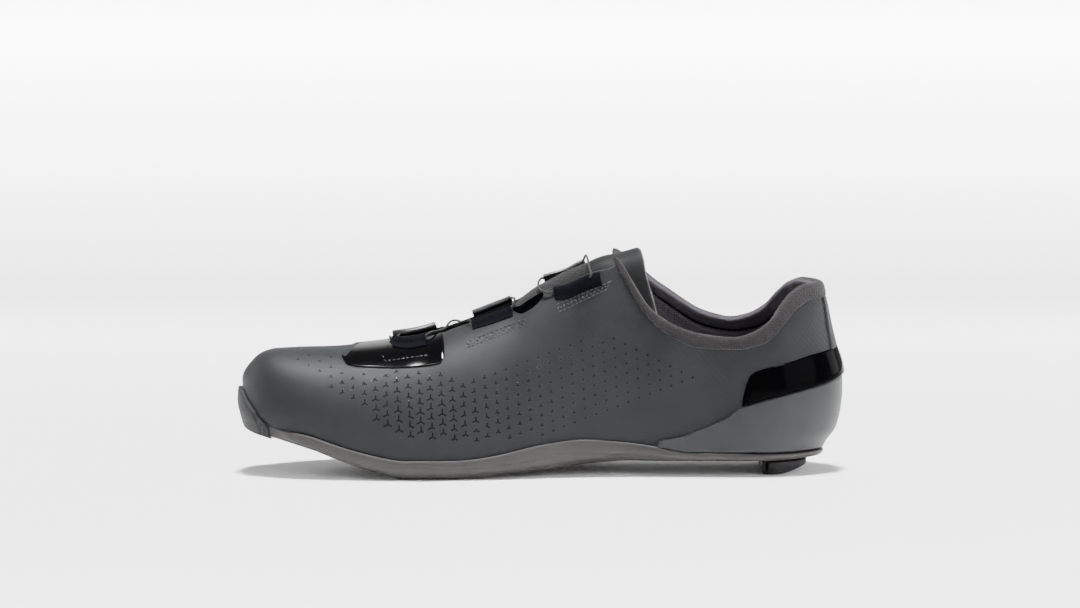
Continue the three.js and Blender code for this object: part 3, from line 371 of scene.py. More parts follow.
def piece(name, parts, material, replaces=(), place=None, weld=True):
    """Joins grids of points, given as (points, faces), into one object with smooth shading.

    place, if given, holds a vector for each point that the materials read as the attribute place.
    """
    points, faces, start = [], [], 0
    for grid, quads in parts:
        flat = np.asarray(grid).reshape(-1, 3)
        points.append(flat)
        faces.append(np.asarray(quads) + start)
        start += len(flat)
    points = (np.concatenate(points) + SHIFT) * 0.001
    mesh = bpy.data.meshes.new(name)
    sizes = np.concatenate([np.full(len(f), f.shape[1]) for f in faces])
    corners = np.concatenate([f.ravel() for f in faces])
    mesh.vertices.add(len(points))
    mesh.vertices.foreach_set("co", points.ravel())
    mesh.loops.add(len(corners))
    mesh.loops.foreach_set("vertex_index", corners)
    mesh.polygons.add(len(sizes))
    mesh.polygons.foreach_set("loop_start", np.concatenate([[0], np.cumsum(sizes)[:-1]]))
    if place is not None:
        values = np.concatenate([np.asarray(p, float).reshape(-1, 3) for p in place])
        mesh.attributes.new("place", "FLOAT_VECTOR", "POINT").data.foreach_set("vector", values.ravel())
    mesh.update(calc_edges=True)
    if weld:
        work = bmesh.new()
        work.from_mesh(mesh)
        bmesh.ops.remove_doubles(work, verts=work.verts, dist=2e-6)
        bmesh.ops.dissolve_degenerate(work, edges=work.edges, dist=1e-7)
        bmesh.ops.recalc_face_normals(work, faces=work.faces)
        work.to_mesh(mesh)
        work.free()
    mesh.shade_smooth()
    mesh.materials.append(material)
    thing = bpy.data.objects.new(name, mesh)
    bpy.context.scene.collection.objects.link(thing)
    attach(thing, "root")
    if replaces:
        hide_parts(*replaces)
    return thing


def bevel_share(t, reach=0.08):
    """1 in the middle of 0 to 1 and a quarter circle down to 0 over reach at both ends."""
    near = np.clip(np.minimum(t, 1 - t) / reach, 0, 1)
    return np.sqrt(np.clip(1 - (1 - near) ** 2, 0, 1))


def eased(count):
    """count shares from 0 to 1, closer together near both ends: a share less a sine of itself."""
    pull = 0.85
    t = np.linspace(0, 1, count)
    return (1 - pull) * t + pull * (t - np.sin(2 * math.pi * t) / (2 * math.pi))


def strip(at, inner, outer, columns, rows, ridge=ridge_height, reach=(0.06, 0.12)):
    """Closed pad between two offsets of the last, with round edges.

    at gives angle and rise for the two shares; the thickness falls to nothing in a quarter circle
    at all four edges, so both faces meet there.
    """
    u, w = np.meshgrid(eased(columns), eased(rows), indexing="ij")
    angle, rise = at(u, w)
    low = np.broadcast_to(inner(u, w) if callable(inner) else inner, u.shape)
    high = np.broadcast_to(outer(u, w) if callable(outer) else outer, u.shape)
    full = bevel_share(u, reach[0]) * bevel_share(w, reach[1])
    worn = relief(angle, rise) if ridge is ridge_height else 0.0
    over = offset(angle, rise, worn + low + (high - low) * full, ridge)
    under = offset(angle, rise, worn + low, ridge)
    quads = grid_quads(columns, rows)
    return [(over, quads), (under, quads[:, ::-1])], [u, w, over]


# Materials


def linear(code):
    """Linear colour of an sRGB hex value, with full alpha."""
    values = [int(code[i:i + 2], 16) / 255 for i in (1, 3, 5)]
    return [v / 12.92 if v <= 0.04045 else ((v + 0.055) / 1.055) ** 2.4 for v in values] + [1.0]


def add(tree, kind, links=None, **settings):
    """Adds a node, sets its properties and inputs, and links sockets into it."""
    node = tree.nodes.new(kind)
    for key, value in settings.items():
        if hasattr(node, key):
            setattr(node, key, value)
        else:
            node.inputs[key.replace("_", " ")].default_value = value
    for key, socket in (links or {}).items():
        tree.links.new(socket, node.inputs[key])
    return node


def finish(name, base, roughness, **shader):
    """New material: gives its node tree, its shader and its Object coordinates in metres."""
    material = bpy.data.materials.new(name)
    material.use_nodes = True
    tree = material.node_tree
    principled = tree.nodes["Principled BSDF"]
    principled.inputs["Base Color"].default_value = linear(base)
    principled.inputs["Roughness"].default_value = roughness
    for key, value in shader.items():
        principled.inputs[key.replace("_", " ")].default_value = value
    where = add(tree, "ShaderNodeTexCoord").outputs["Object"]
    return material, tree, principled, where


def noise(tree, where, size_mm, detail=3.0, rough=0.55):
    """Noise whose lumps are about size_mm across."""
    made = add(tree, "ShaderNodeTexNoise", {"Vector": where}, Scale=1000.0 / size_mm, Detail=detail, Roughness=rough)
    return made.outputs["Fac"]


def shade_between(tree, factor, dark, light, low=0.3, high=0.7):
    """Colour ramp from dark at low to light at high."""
    ramp = add(tree, "ShaderNodeValToRGB", {"Fac": factor})
    ramp.color_ramp.elements[0].position = low
    ramp.color_ramp.elements[0].color = linear(dark)
    ramp.color_ramp.elements[1].position = high
    ramp.color_ramp.elements[1].color = linear(light)
    return ramp.outputs["Color"]


def bump(tree, height, strength, depth_mm, onto=None):
    """Normal with a relief depth_mm deep, laid onto another if given."""
    links = {"Height": height}
    if onto is not None:
        links["Normal"] = onto
    made = add(tree, "ShaderNodeBump", links, Strength=strength, Distance=depth_mm * 0.001)
    return made.outputs["Normal"]


def spread(tree, factor, low, high):
    """A factor of 0 to 1 mapped to low to high."""
    made = add(tree, "ShaderNodeMapRange", {"Value": factor}, To_Min=low, To_Max=high)
    return made.outputs["Result"]


def microfibre(name, dark, light, roughness=0.56):
    """Coated microfibre: embossed with a fine pebble, so the gloss is broad and soft.

    Round the collar a diagonal twill shows through the coat: two crossed waves in the piece's own
    millimetres, as strong as the third number of the attribute place.
    """
    material, tree, shader, where = finish(name, light, roughness, Specular_IOR_Level=0.16)
    cloud = noise(tree, where, 38, 2.0)
    pebble = noise(tree, where, 0.75, 2.0)
    tree.links.new(shade_between(tree, cloud, dark, light), shader.inputs["Base Color"])
    tree.links.new(spread(tree, pebble, roughness - 0.07, roughness + 0.07), shader.inputs["Roughness"])
    fine = bump(tree, pebble, 0.35, 0.10)
    place = add(tree, "ShaderNodeAttribute", attribute_name="place").outputs["Vector"]
    turned = add(tree, "ShaderNodeVectorRotate", {"Vector": place}, rotation_type="Z_AXIS", Angle=math.radians(52))
    waves = [
        add(tree, "ShaderNodeTexWave", {"Vector": turned.outputs[0]}, bands_direction=way, Scale=1 / (3.18 * pitch))
        for way, pitch in (("X", 1.5), ("Y", 2.4))
    ]
    crossed = {i: wave.outputs["Fac"] for i, wave in enumerate(waves)}
    twill = add(tree, "ShaderNodeMath", crossed, operation="MULTIPLY")
    amount = add(tree, "ShaderNodeSeparateXYZ", {"Vector": place}).outputs["Z"]
    shown = add(tree, "ShaderNodeMath", {0: twill.outputs[0], 1: amount}, operation="MULTIPLY")
    slow = bump(tree, noise(tree, where, 6.0, 2.0), 0.25, 0.25, fine)
    tree.links.new(bump(tree, shown.outputs[0], 0.8, 0.12, slow), shader.inputs["Normal"])
    return material


def polished_film(name, shine, coat):
    """Heat-pressed polyurethane film: mirror black with a slow ripple from the cloth beneath."""
    material, tree, shader, where = finish(name, "#030304", 0.09, Specular_IOR_Level=shine, Coat_Weight=coat,
                                            Coat_Roughness=0.03)
    ripple = noise(tree, where, 7.0, 1.5)
    dust = noise(tree, where, 0.5, 2.0)
    tree.links.new(spread(tree, dust, 0.05, 0.13), shader.inputs["Roughness"])
    tree.links.new(bump(tree, ripple, 0.35, 0.20), shader.inputs["Normal"])
    return material


def moulded(name, dark, light, roughness, grain_mm=0.9, depth=0.06, **extra):
    """Moulded polymer: a sparked mould leaves a fine even grain."""
    material, tree, shader, where = finish(name, light, roughness, **extra)
    grain = noise(tree, where, grain_mm, 3.0)
    tree.links.new(shade_between(tree, noise(tree, where, 22, 3.0), dark, light), shader.inputs["Base Color"])
    tree.links.new(spread(tree, grain, roughness - 0.08, roughness + 0.08), shader.inputs["Roughness"])
    tree.links.new(bump(tree, grain, 0.5, depth), shader.inputs["Normal"])
    return material


def knitted_mesh(name, dark, light, cell_mm, rough=0.92, depth=0.35, lining=None):
    """Spacer mesh: round holes in a soft knit, each darkened inside with painted shade, with lint on top.

    lining, if given, is the paler yarn that takes over where the attribute place has x = 1.
    """
    material, tree, shader, where = finish(name, light, rough, Sheen_Weight=0.05, Sheen_Roughness=0.6,
                                            Specular_IOR_Level=0.2)
    cells = add(tree, "ShaderNodeTexVoronoi", {"Vector": where}, Scale=1000.0 / cell_mm, Randomness=0.45)
    holes = cells.outputs["Distance"]
    # Painted shade: colour runs from dark at the middle of each hole to light on the knit.
    colour = shade_between(tree, holes, dark, light, 0.10, 0.42)
    if lining:
        place = add(tree, "ShaderNodeAttribute", attribute_name="place").outputs["Vector"]
        share = add(tree, "ShaderNodeSeparateXYZ", {"Vector": place}).outputs["X"]
        turned = add(tree, "ShaderNodeMixRGB", {"Fac": share, "Color1": colour})
        turned.inputs["Color2"].default_value = linear(lining)
        colour = turned.outputs["Color"]
    tree.links.new(colour, shader.inputs["Base Color"])
    lint = bump(tree, noise(tree, where, 0.6, 4.0, 0.7), 0.5, 0.15)
    tree.links.new(bump(tree, holes, 0.8, depth, lint), shader.inputs["Normal"])
    return material


def woven(name, dark, light, thread_mm, rough=0.85):
    """Woven webbing: ribs across the band, read from the piece's own length and width."""
    material, tree, shader, where = finish(name, light, rough, Specular_IOR_Level=0.06)
    place = add(tree, "ShaderNodeAttribute", attribute_name="place").outputs["Vector"]
    scale = 1.0 / thread_mm
    ribs, yarn = (
        add(tree, "ShaderNodeTexWave", {"Vector": place}, wave_profile="SIN", bands_direction=way, Scale=scale / 3.18)
        for way in ("X", "Y")
    )
    mixed = add(tree, "ShaderNodeMath", {0: ribs.outputs["Fac"], 1: yarn.outputs["Fac"]}, operation="MULTIPLY")
    lint = noise(tree, where, 0.5, 3.0)
    tree.links.new(shade_between(tree, mixed.outputs[0], dark, light, 0.0, 0.8), shader.inputs["Base Color"])
    tree.links.new(bump(tree, lint, 0.4, 0.1, bump(tree, mixed.outputs[0], 0.9, 0.25)), shader.inputs["Normal"])
    return material


def metal(name, base, roughness):
    """Anodised aluminium: bead blasted, then dyed, so it shines softly."""
    material, tree, shader, where = finish(name, base, roughness, Metallic=1.0)
    tree.links.new(bump(tree, noise(tree, where, 0.4, 2.0), 0.3, 0.03), shader.inputs["Normal"])
    return material


UPPER = microfibre("coated_microfibre", "#18191b", "#1e2022", 0.56)
STRIP = microfibre("heel_strip_microfibre", "#161719", "#1c1d1f", 0.5)
TONGUE = microfibre("tongue_microfibre", "#101112", "#151617", 0.6)
GLOSS = polished_film("polished_film", 0.25, 0.15)
BAND_GLOSS = polished_film("polished_heel_film", 0.012, 0.0)
SOLE_MAT = moulded("filled_nylon_sole", "#262524", "#2e2c2b", 0.46, Specular_IOR_Level=0.3)
RUBBER = moulded("moulded_rubber", "#0e0e10", "#161618", 0.7, 1.2, 0.1, Specular_IOR_Level=0.3)
CUP_MAT = moulded("moulded_heel_cup", "#17181a", "#1d1e20", 0.44, Specular_IOR_Level=0.3)
GUIDE = moulded("moulded_guide", "#08080a", "#0e0e10", 0.36)
BINDING = knitted_mesh("collar_spacer_mesh", "#0f0e0f", "#211f20", 1.2, lining="#4a474d")
LINING = knitted_mesh("lining_mesh", "#343136", "#5a565e", 1.1)
INSOLE_MAT = knitted_mesh("insole_knit", "#101012", "#26262a", 0.8, 0.95, 0.15)
WEB = woven("woven_webbing", "#040408", "#0f1019", 0.8)
LACE = woven("braided_lace", "#222222", "#5e5e5d", 0.5, 0.6)
THREAD = moulded("bonded_thread", "#141518", "#222327", 0.5, 0.5)
# Perforation plates: near-black, painted shadow standing for the inside of each hole.
HOLE_SHADOW = moulded("perforation_shadow", "#050506", "#090a0b", 0.8, Specular_IOR_Level=0.1)
# Tongue front: a dark knit, made darker than the tongue itself as painted shade between the throat edges.
TONGUE_FRONT_SHADE = knitted_mesh("tongue_front_mesh_shade", "#050506", "#111112", 1.7)
# Near-black pad with no shine: painted shadow laid where the eyestay's recess falls into shade.
SHADOW = moulded("eyestay_painted_shadow", "#020203", "#040405", 0.9, Specular_IOR_Level=0.0)
METAL = metal("anodised_aluminium", "#6d7072", 0.35)
STEEL = metal("turned_steel", "#8f8f8f", 0.3)
LINING_LIGHT = knitted_mesh("tongue_mesh", "#1a1a1c", "#77777a", 0.9)
RIM = moulded("glossy_hole_rim", "#16181a", "#202224", 0.22)
PIPING = moulded("tongue_piping", "#3a3a39", "#4a4a49", 0.5)

# Stations round the shoe, with the throat's front and the collar's first point among them

THROAT_START = THROAT["along"][0]


def side_stations(cells):
    """Angles along one side, with the throat's front, the collar's start and the cup's start among them."""
    marks = [0.0, float(station(THROAT_START)), float(station(COLLAR_START)), float(station(0.70)), math.pi]
    spans = [np.linspace(a, b, n + 1)[1 if i else 0:] for i, (a, b, n) in enumerate(zip(marks, marks[1:], cells))]
    return np.concatenate(spans)


def whole_turn(cells):
    """Angles all the way round: one side and its mirror."""
    one = side_stations(cells)
    return np.concatenate([one, 2 * math.pi - one[-2:0:-1]])


def mound(value, middle, width):
    """Smooth hill of height 1 over a middle."""
    return np.exp(-(((value - middle) / width) ** 2))


def relief(angle, rise):
    """Millimetres that the worn-in upper stands over the plain last.

    Soft troughs and ridges, each a hill in place along the shoe and in height: the toe box's flat
    top edge, the hollow behind the ball, the tension lines from the loops to the sole, and the
    folds where the quarter bends under the collar.
    """
    along, z = along_of(angle), last(angle, rise)[..., 2]
    medial = np.where(np.sin(angle) > 0, 1.0, 0.6)
    lower = smooth(z, 14, 26) * (1 - smooth(z, 44, 58))
    made = 0.35 * mound(along, 0.10, 0.05) * mound(z, 46, 9)
    made -= 0.35 * mound(along, 0.165 + (z - 40) * 0.0006, 0.018) * mound(z, 42, 9)
    made += 0.25 * mound(along, 0.205 + (z - 40) * 0.0006, 0.018) * mound(z, 40, 10)
    for loop, strength in ((0.290, 0.30), (0.425, 0.34), (0.560, 0.30)):
        lean = loop + (z - 60) * 0.0011
        made += medial * strength * mound(along, lean, 0.020) * lower
        made -= medial * strength * mound(along, lean + 0.045, 0.022) * lower
    fold = 0.655 + (z - 45) * 0.0022
    made -= medial * 0.45 * mound(along, fold, 0.014) * smooth(z, 34, 52)
    made += medial * 0.35 * mound(along, fold + 0.034, 0.018) * smooth(z, 34, 52)
    made -= 0.30 * mound(along, 0.800, 0.03) * mound(z, 47, 8)
    return made * smooth(rise, 0.05, 0.3)


def skin(angle, rise, distance):
    """Point over the upper: like offset, with the relief added."""
    return offset(angle, rise, relief(angle, rise) + distance)


def upper_rows(face, edge):
    """Shares for one loop of rows: height, depth into the wall and crown of the top edge."""
    share = np.linspace(0, 1, face + 1)
    turn = np.linspace(0, math.pi, edge + 1)[1:-1]
    out = np.concatenate([share, np.ones(edge - 1), share[::-1]])
    deep = np.concatenate([np.zeros(face + 1), (1 - np.cos(turn)) / 2, np.ones(face + 1)])
    crown = np.concatenate([np.zeros(face + 1), np.sin(turn), np.zeros(face + 1)])
    return out, deep, crown


def build_upper():
    """Shell of the upper: outer face, round top edge and inner face, closed over the toe."""
    columns = whole_turn((90, 90, 30, 80))
    out, deep, crown = upper_rows(72, 6)
    top = edge_rise(columns)
    closed = top > HALF_TURN - 1e-6
    rise = top[:, None] * out[None, :]
    angle = columns[:, None] + 0 * rise
    points = skin(angle, rise, -WALL * deep[None, :] + 0 * rise)
    along_edge = last(angle, top[:, None] + 0 * rise) - last(angle, top[:, None] - 1e-3 + 0 * rise)
    points += unit(along_edge) * (crown[None, :] * WALL * 0.45 * (~closed[:, None]))[..., None]
    quads = grid_quads(len(columns), len(out), close_columns=True, close_rows=True)
    i, j = quads[:, 0] // len(out), quads[:, 0] % len(out)
    seam = closed[i] & closed[(i + 1) % len(columns)] & (j >= 72) & (j < 78)
    along, z = along_of(angle), points[..., 2]
    walk = np.cumsum(np.r_[0, np.linalg.norm(np.diff(last(columns, 0.5 + 0 * columns), axis=0), axis=-1)])
    weave = smooth(along, 0.52, 0.60) * smooth(z, 30, 48)
    place = np.stack([walk[:, None] + 0 * z, z, weave], axis=-1)
    return piece("upper_shell", [(points, quads[~seam])], UPPER, ["upper"], [place])


build_upper()


def cubic(p0, p1, p2, p3, f):
    """Catmull and Rom's cubic between the two middle ones of four controls, at a share f."""
    bend = (2 * p0 - 5 * p1 + 4 * p2 - p3) * f**2
    return 0.5 * (2 * p1 + (p2 - p0) * f + bend + (3 * p1 - p0 - 3 * p2 + p3) * f**3)


def round_loop(control, count):
    """Closed smooth curve through control values on the last axis, by Catmull and Rom's cubic."""
    k = control.shape[-1]
    t = np.arange(count) * k / count
    i, f = np.floor(t).astype(int), t - np.floor(t)
    p0, p1, p2, p3 = (control[..., (i + d) % k] for d in (-1, 0, 1, 2))
    return cubic(p0, p1, p2, p3, f)


def rounded(controls, radii, steps=5, closed=False):
    """Polyline rows with round corners: each corner becomes a quadratic curve of the given reach."""
    points, count = np.stack(controls, axis=1), len(controls)
    rows = []
    for k in range(count):
        here = points[:, k]
        if not closed and k in (0, count - 1):
            rows.append(here)
            continue
        before, after = points[:, k - 1] - here, points[:, (k + 1) % count] - here
        reach = [np.minimum(radii[k], 0.45 * np.linalg.norm(way, axis=-1, keepdims=True)) for way in (before, after)]
        start, end = here + unit(before) * reach[0], here + unit(after) * reach[1]
        for t in np.linspace(0, 1, steps):
            rows.append((1 - t) ** 2 * start + 2 * t * (1 - t) * here + t**2 * end)
    return np.stack(rows, axis=1)


def fill_rows(points, most=2.5):
    """Adds rows so that neighbours lie no further apart than most millimetres."""
    rows = [points[:, :1]]
    for a, b in zip(range(points.shape[1] - 1), range(1, points.shape[1])):
        gap = np.linalg.norm(points[:, b] - points[:, a], axis=-1).max()
        shares = np.linspace(0, 1, int(np.ceil(gap / most)) + 1)[1:]
        rows.append(points[:, a, None] * (1 - shares)[None, :, None] + points[:, b, None] * shares[None, :, None])
    return np.concatenate(rows, axis=1)


def collar_angles(cells):
    """Angles round the heel, from where the collar starts to where it ends."""
    start = float(station(COLLAR_START))
    return np.linspace(start, 2 * math.pi - start, cells)


def build_collar():
    """Padded roll: a smooth ring section, drawn in at both ends, with small puckers over its crown."""
    angle = collar_angles(420)
    along, top, width = along_of(angle), collar_height(angle), roll_width(angle)
    level = lambda share: rise_at_height(along, top - width * share)
    low = rise_below(angle, edge_rise(angle), -SEAT)
    rises = np.stack([low, level(0.55), level(0.15), level(0), level(0), level(0.2), level(0.65), low], axis=-1)
    roll = ROLL_THICKNESS
    deep = np.array([0.45, 1.45, 1.05, -1.0, 2.2 - roll, 0.7 - roll, 1.1 - roll, 2.2 - roll]) + 0 * rises
    rises, deep = round_loop(rises, 56), round_loop(deep, 56)
    end = bevel_share(np.linspace(0, 1, len(angle)), 0.012)[:, None]
    rises = rises.mean(-1, keepdims=True) + (rises - rises.mean(-1, keepdims=True)) * (0.15 + 0.85 * end)
    deep = -roll / 2 + 0.6 + (deep + roll / 2 - 0.6) * (0.15 + 0.85 * end)
    walk = np.cumsum(np.r_[0, np.linalg.norm(np.diff(last(angle, low), axis=0), axis=-1)])[:, None]
    around = np.linspace(0, 2 * math.pi, 56, endpoint=False)[None, :]
    bend = mound(along, 0.885, 0.05)[:, None]
    deep = deep + 0.10 * np.sin(walk / 1.9 + 1.3 * np.sin(around)) * (0.25 + 0.9 * bend)
    deep = deep + 0.14 * np.sin(walk / 6.3 + 0.8 + np.sin(2 * around)) * (0.5 + bend)
    points = offset(angle[:, None] + 0 * rises, rises, deep)
    inward = np.clip((-deep - 0.45 * roll) / (0.3 * roll), 0, 1)
    inward = np.stack([inward, 0 * inward, 0 * inward], axis=-1)
    caps = [np.arange(56)[None, ::-1], (np.arange(56) + (len(angle) - 1) * 56)[None, :]]
    quads = grid_quads(len(angle), 56, close_rows=True)
    roll_piece = piece("collar_roll", [(points, quads), (points[:1], caps[0]), (points[-1:], caps[0][:, ::-1])],
                       BINDING, ["collar_binding"], place=[inward, inward[:1], inward[-1:]])


def build_lining():
    """Lining from the insole up into the roll, thick as a cushion at the heel and thin further forward."""
    start = float(station(0.30))
    angle = np.linspace(start, 2 * math.pi - start, 360)
    along = along_of(angle)
    rows = 60
    w = np.linspace(0, 1, rows)[None, :]
    bottom = rise_at_height(along, feather_height(along) + INSOLE_THICKNESS * 0.5)[:, None]
    top = rise_below(angle, edge_rise(angle), 1.0)[:, None]
    rise = bottom + (top - bottom) * w
    heel = smooth(along, 0.60, 0.80)[:, None]
    cushion = 0.35 + heel * (2.4 * smooth(w, 0.35, 0.85) - 0.3 * mound(w, 0.5, 0.2))
    rib = 0.05 * np.sin(angle[:, None] * 260) * heel
    whole = angle[:, None] + 0 * rise
    near = offset(whole, rise, -WALL - 0.02 + 0 * rise)
    far = offset(whole, rise, -WALL - (cushion + rib) * bevel_share(w, 0.03) + 0 * rise)
    quads = grid_quads(len(angle), rows)
    piece("lining", [(near, quads), (far, quads[:, ::-1])], LINING)


def tongue_surface(u, across, deep):
    """Place on the tongue, deep millimetres in: u from front to end, across from -1 medial to 1.

    Its sides hang further down near the free end, and there they draw in past the collar roll.
    """
    end = 0.696 + 0.014 * np.abs(across) ** 1.2
    along = TONGUE_START + (end - TONGUE_START) * u
    angle = station(along)
    hang = TONGUE_REACH + 7.0 * smooth(along, 0.57, 0.68)
    reach = np.minimum(1, 0.55 + 1.2 * (along - TONGUE_START)) * hang
    width = half_width(along) * np.sin(angle)
    fall = np.arccos(np.minimum(0.92, reach / width) ** (square_of(along) / 2))
    rise = HALF_TURN - (HALF_TURN - fall) * np.abs(across)
    inward = 4.2 * smooth(along, 0.565, 0.625) * smooth(np.abs(across), 0.25, 0.8)
    return offset(np.where(across < 0, angle, -angle), rise, -WALL - TONGUE_CLEARANCE - inward - deep, tongue_ridge)


def build_tongue():
    """Padded tongue: full along its middle, thin at its border, with a soft roll at the free end."""
    u, across = np.meshgrid(eased(110), np.linspace(-1, 1, 81), indexing="ij")
    border = bevel_share(u, 0.012) * bevel_share((across + 1) / 2, 0.035)
    thick = TONGUE_THICKNESS * np.minimum(1, 1.7 - np.abs(across)) * (0.55 + 0.45 * smooth(u, 0.98, 0.85))
    middle = thick / 2
    quilt = 0.22 * np.sin(u * 46) * (1 - across**2) * smooth(u, 0.15, 0.3)
    over = tongue_surface(u, across, middle - (middle + quilt) * border)
    under = tongue_surface(u, across, middle + middle * border)
    quads = grid_quads(*u.shape)
    pad = piece("tongue_pad", [(over, quads), (under, quads[:, ::-1])], TONGUE, ["tongue"])
    # Sheet over the front of the tongue, darker than the pad: partly dark mesh, partly painted shade between the
    # throat edges.
    front = slice(0, int(np.argmax(u[:, 0] > 0.80)))
    cover = tongue_surface(u[front], across[front], (middle - (middle + quilt) * border)[front] - 0.12)
    piece("tongue_front_shade_cover", [(cover, grid_quads(*cover.shape[:2]))], TONGUE_FRONT_SHADE, weld=False)
    inner = tongue_surface(u[30:-3, 5:-5], across[30:-3, 5:-5], thick[30:-3, 5:-5] + 0.25)
    beneath = tongue_surface(u[30:-3, 5:-5], across[30:-3, 5:-5], thick[30:-3, 5:-5] - 0.3)
    quads = grid_quads(*inner.shape[:2])
    rim = [(np.concatenate([inner[-1:], beneath[-1:]]), grid_quads(2, inner.shape[1]))]
    piece("tongue_lining", [(inner, quads), (beneath, quads[:, ::-1])] + rim, LINING_LIGHT)


def tube(path, radius, sides=10, closed=False):
    """Round tube along a path of points, with frames carried forward so that it doesn't twist.

    Gives the points, faces and a place for weaves: millimetres along and round.
    """
    path = np.asarray(path, float)
    ahead = np.roll(path, -1, axis=0) - np.roll(path, 1, axis=0)
    if not closed:
        ahead[0], ahead[-1] = path[1] - path[0], path[-1] - path[-2]
    ahead = unit(ahead)
    side_way = np.zeros_like(path)
    first = np.cross(ahead[0], [0.0, 0.0, 1.0])
    side_way[0] = unit(first if np.linalg.norm(first) > 0.1 else np.cross(ahead[0], [1.0, 0.0, 0.0]))
    for i in range(1, len(path)):
        turned = side_way[i - 1] - ahead[i] * np.dot(side_way[i - 1], ahead[i])
        side_way[i] = turned / np.linalg.norm(turned)
    up_way = np.cross(side_way, ahead)
    turn = np.linspace(0, 2 * math.pi, sides, endpoint=False)
    radius = np.broadcast_to(radius, len(path))[:, None, None]
    ring = side_way[:, None] * np.cos(turn)[None, :, None] + up_way[:, None] * np.sin(turn)[None, :, None]
    points = path[:, None] + ring * radius
    walk = np.cumsum(np.r_[0, np.linalg.norm(np.diff(path, axis=0), axis=-1)])
    place = np.stack(np.broadcast_arrays(walk[:, None], turn[None, :] * radius[..., 0], 0.0), axis=-1)
    quads = grid_quads(len(path), sides, close_columns=closed, close_rows=True)
    parts = [(points, quads)]
    places = [place]
    if not closed:
        for row, flip in ((0, 1), (-1, -1)):
            parts.append((points[row], np.arange(sides)[None, ::flip]))
            places.append(place[row])
    return parts, places


def build_insole():
    """Insole: a flexible sheet, dished a little towards its border, on the sole's footbed."""
    angle = whole_turn((50, 50, 10, 40))
    along = along_of(angle)
    low = feather_height(along) + 0.05
    high = rise_at_height(along, low + INSOLE_THICKNESS)
    middle = spine_point(angle, low + INSOLE_THICKNESS - 0.6)
    rim = offset(angle, high, -WALL - 0.5)
    bottom, base = edge_point(angle, -WALL - 0.5, low), spine_point(angle, low)
    share = np.linspace(0, 1, 24)[None, :, None]
    dish = 0.6 * smooth(share, 0.5, 1.0) * np.array([0, 0, 1.0])
    top = middle[:, None] * (1 - share) + rim[:, None] * share + dish - np.array([0, 0, 0.6]) * share
    points = np.concatenate([top, bottom[:, None], base[:, None]], axis=1)
    piece("insole_sheet", [(points, grid_quads(len(angle), points.shape[1], close_columns=True))], INSOLE_MAT,
          ["insole"])


def sole_rows(angle):
    """Sole section from the middle of the footbed out, over the lip, down the side and back underneath."""
    along = along_of(angle)
    under, foot = underside_height(along), feather_height(along) - SEAT
    lip_share = np.where(np.sin(angle) < -1e-9, lip_lateral(along), lip_medial(along))
    lip_top = rise_at_height(along, foot + lip_share * SOLE_THICKNESS)
    crease = foot + crease_share(along) * SOLE_THICKNESS
    turn = np.minimum(angle, 2 * math.pi - angle)
    free = smooth(turn, BUMPER_HALF_TURN + 0.03, BUMPER_HALF_TURN + 0.16)
    lip = SEAT + (LIP_PROUD - SEAT) * free + 0.04
    arch = mound(along, 0.62, 0.10)
    brow = foot + (lip_share * 0.45) * SOLE_THICKNESS * free
    return [
        spine_point(angle, foot),
        edge_point(angle, SEAT, foot),
        offset(angle, lip_top, SEAT - 0.3),
        offset(angle, lip_top, lip - 0.25),
        edge_point(angle, lip + 0.35 * free, brow + (crease - foot) * 0.3),
        edge_point(angle, lip + 0.15 * free, crease + (foot - crease) * (1 - free) * 0.5),
        edge_point(angle, lip - 0.75 * free, crease - 0.7 * free),
        edge_point(angle, lip - 1.1 * free - 0.2 - 1.2 * arch, under + (crease - under) * 0.40),
        edge_point(angle, -2.0 - 2.0 * arch, under + 0.35),
        edge_point(angle, -9, under),
        spine_point(angle, under),
    ]


def nut_centres():
    """Places of the three inserts: one ahead of the middle under the ball and two behind it."""
    x = float(plain_x(NUT_ALONG, TOE_HEIGHT))
    y = float(centre_share(NUT_ALONG)) * BALL_WIDTH
    behind = x + NUT_AHEAD
    return {"front": (x - NUT_AHEAD, y), "medial": (behind, y - NUT_ASIDE), "lateral": (behind, y + NUT_ASIDE)}


def lathe(profile, count):
    """Surface of revolution round Z through (radius, height) pairs."""
    profile = np.asarray(profile, float)
    turn = np.linspace(0, 2 * math.pi, count, endpoint=False)
    points = np.stack([
        profile[None, :, 0] * np.cos(turn)[:, None],
        profile[None, :, 0] * np.sin(turn)[:, None],
        profile[None, :, 1] + 0 * turn[:, None],
    ], axis=-1)
    return points, grid_quads(count, len(profile), close_columns=True)


def build_sole():
    """Sole plate lofted from its section, with a round recess cut for each insert."""
    angle = whole_turn((90, 80, 20, 60))
    radii = [0, 0.4, 0.4, 0.7, 1.2, 0.7, 0.6, 2.5, 1.6, 2.0, 0]
    points = fill_rows(rounded(sole_rows(angle), radii))
    quads = grid_quads(len(angle), points.shape[1], close_columns=True)
    sole = piece("sole_shell", [(points, quads)], SOLE_MAT, ["outsole"])
    for x, y in nut_centres().values():
        ring, faces = lathe([(0, -3), (RECESS_RADIUS, -3), (RECESS_RADIUS, RECESS_DEPTH), (0, RECESS_DEPTH)], 48)
        cutter = bpy.data.objects.new("cutter", piece_mesh(ring + np.array([x, y, 0.0]), faces))
        bpy.context.scene.collection.objects.link(cutter)
        cut = sole.modifiers.new("recess", "BOOLEAN")
        cut.operation, cut.object, cut.solver = "DIFFERENCE", cutter, "EXACT"
        bpy.context.view_layer.update()
        made = bpy.data.meshes.new_from_object(sole.evaluated_get(bpy.context.evaluated_depsgraph_get()))
        sole.modifiers.clear()
        sole.data = made
        bpy.data.objects.remove(cutter)
    sole.data.set_sharp_from_angle(angle=math.radians(50))


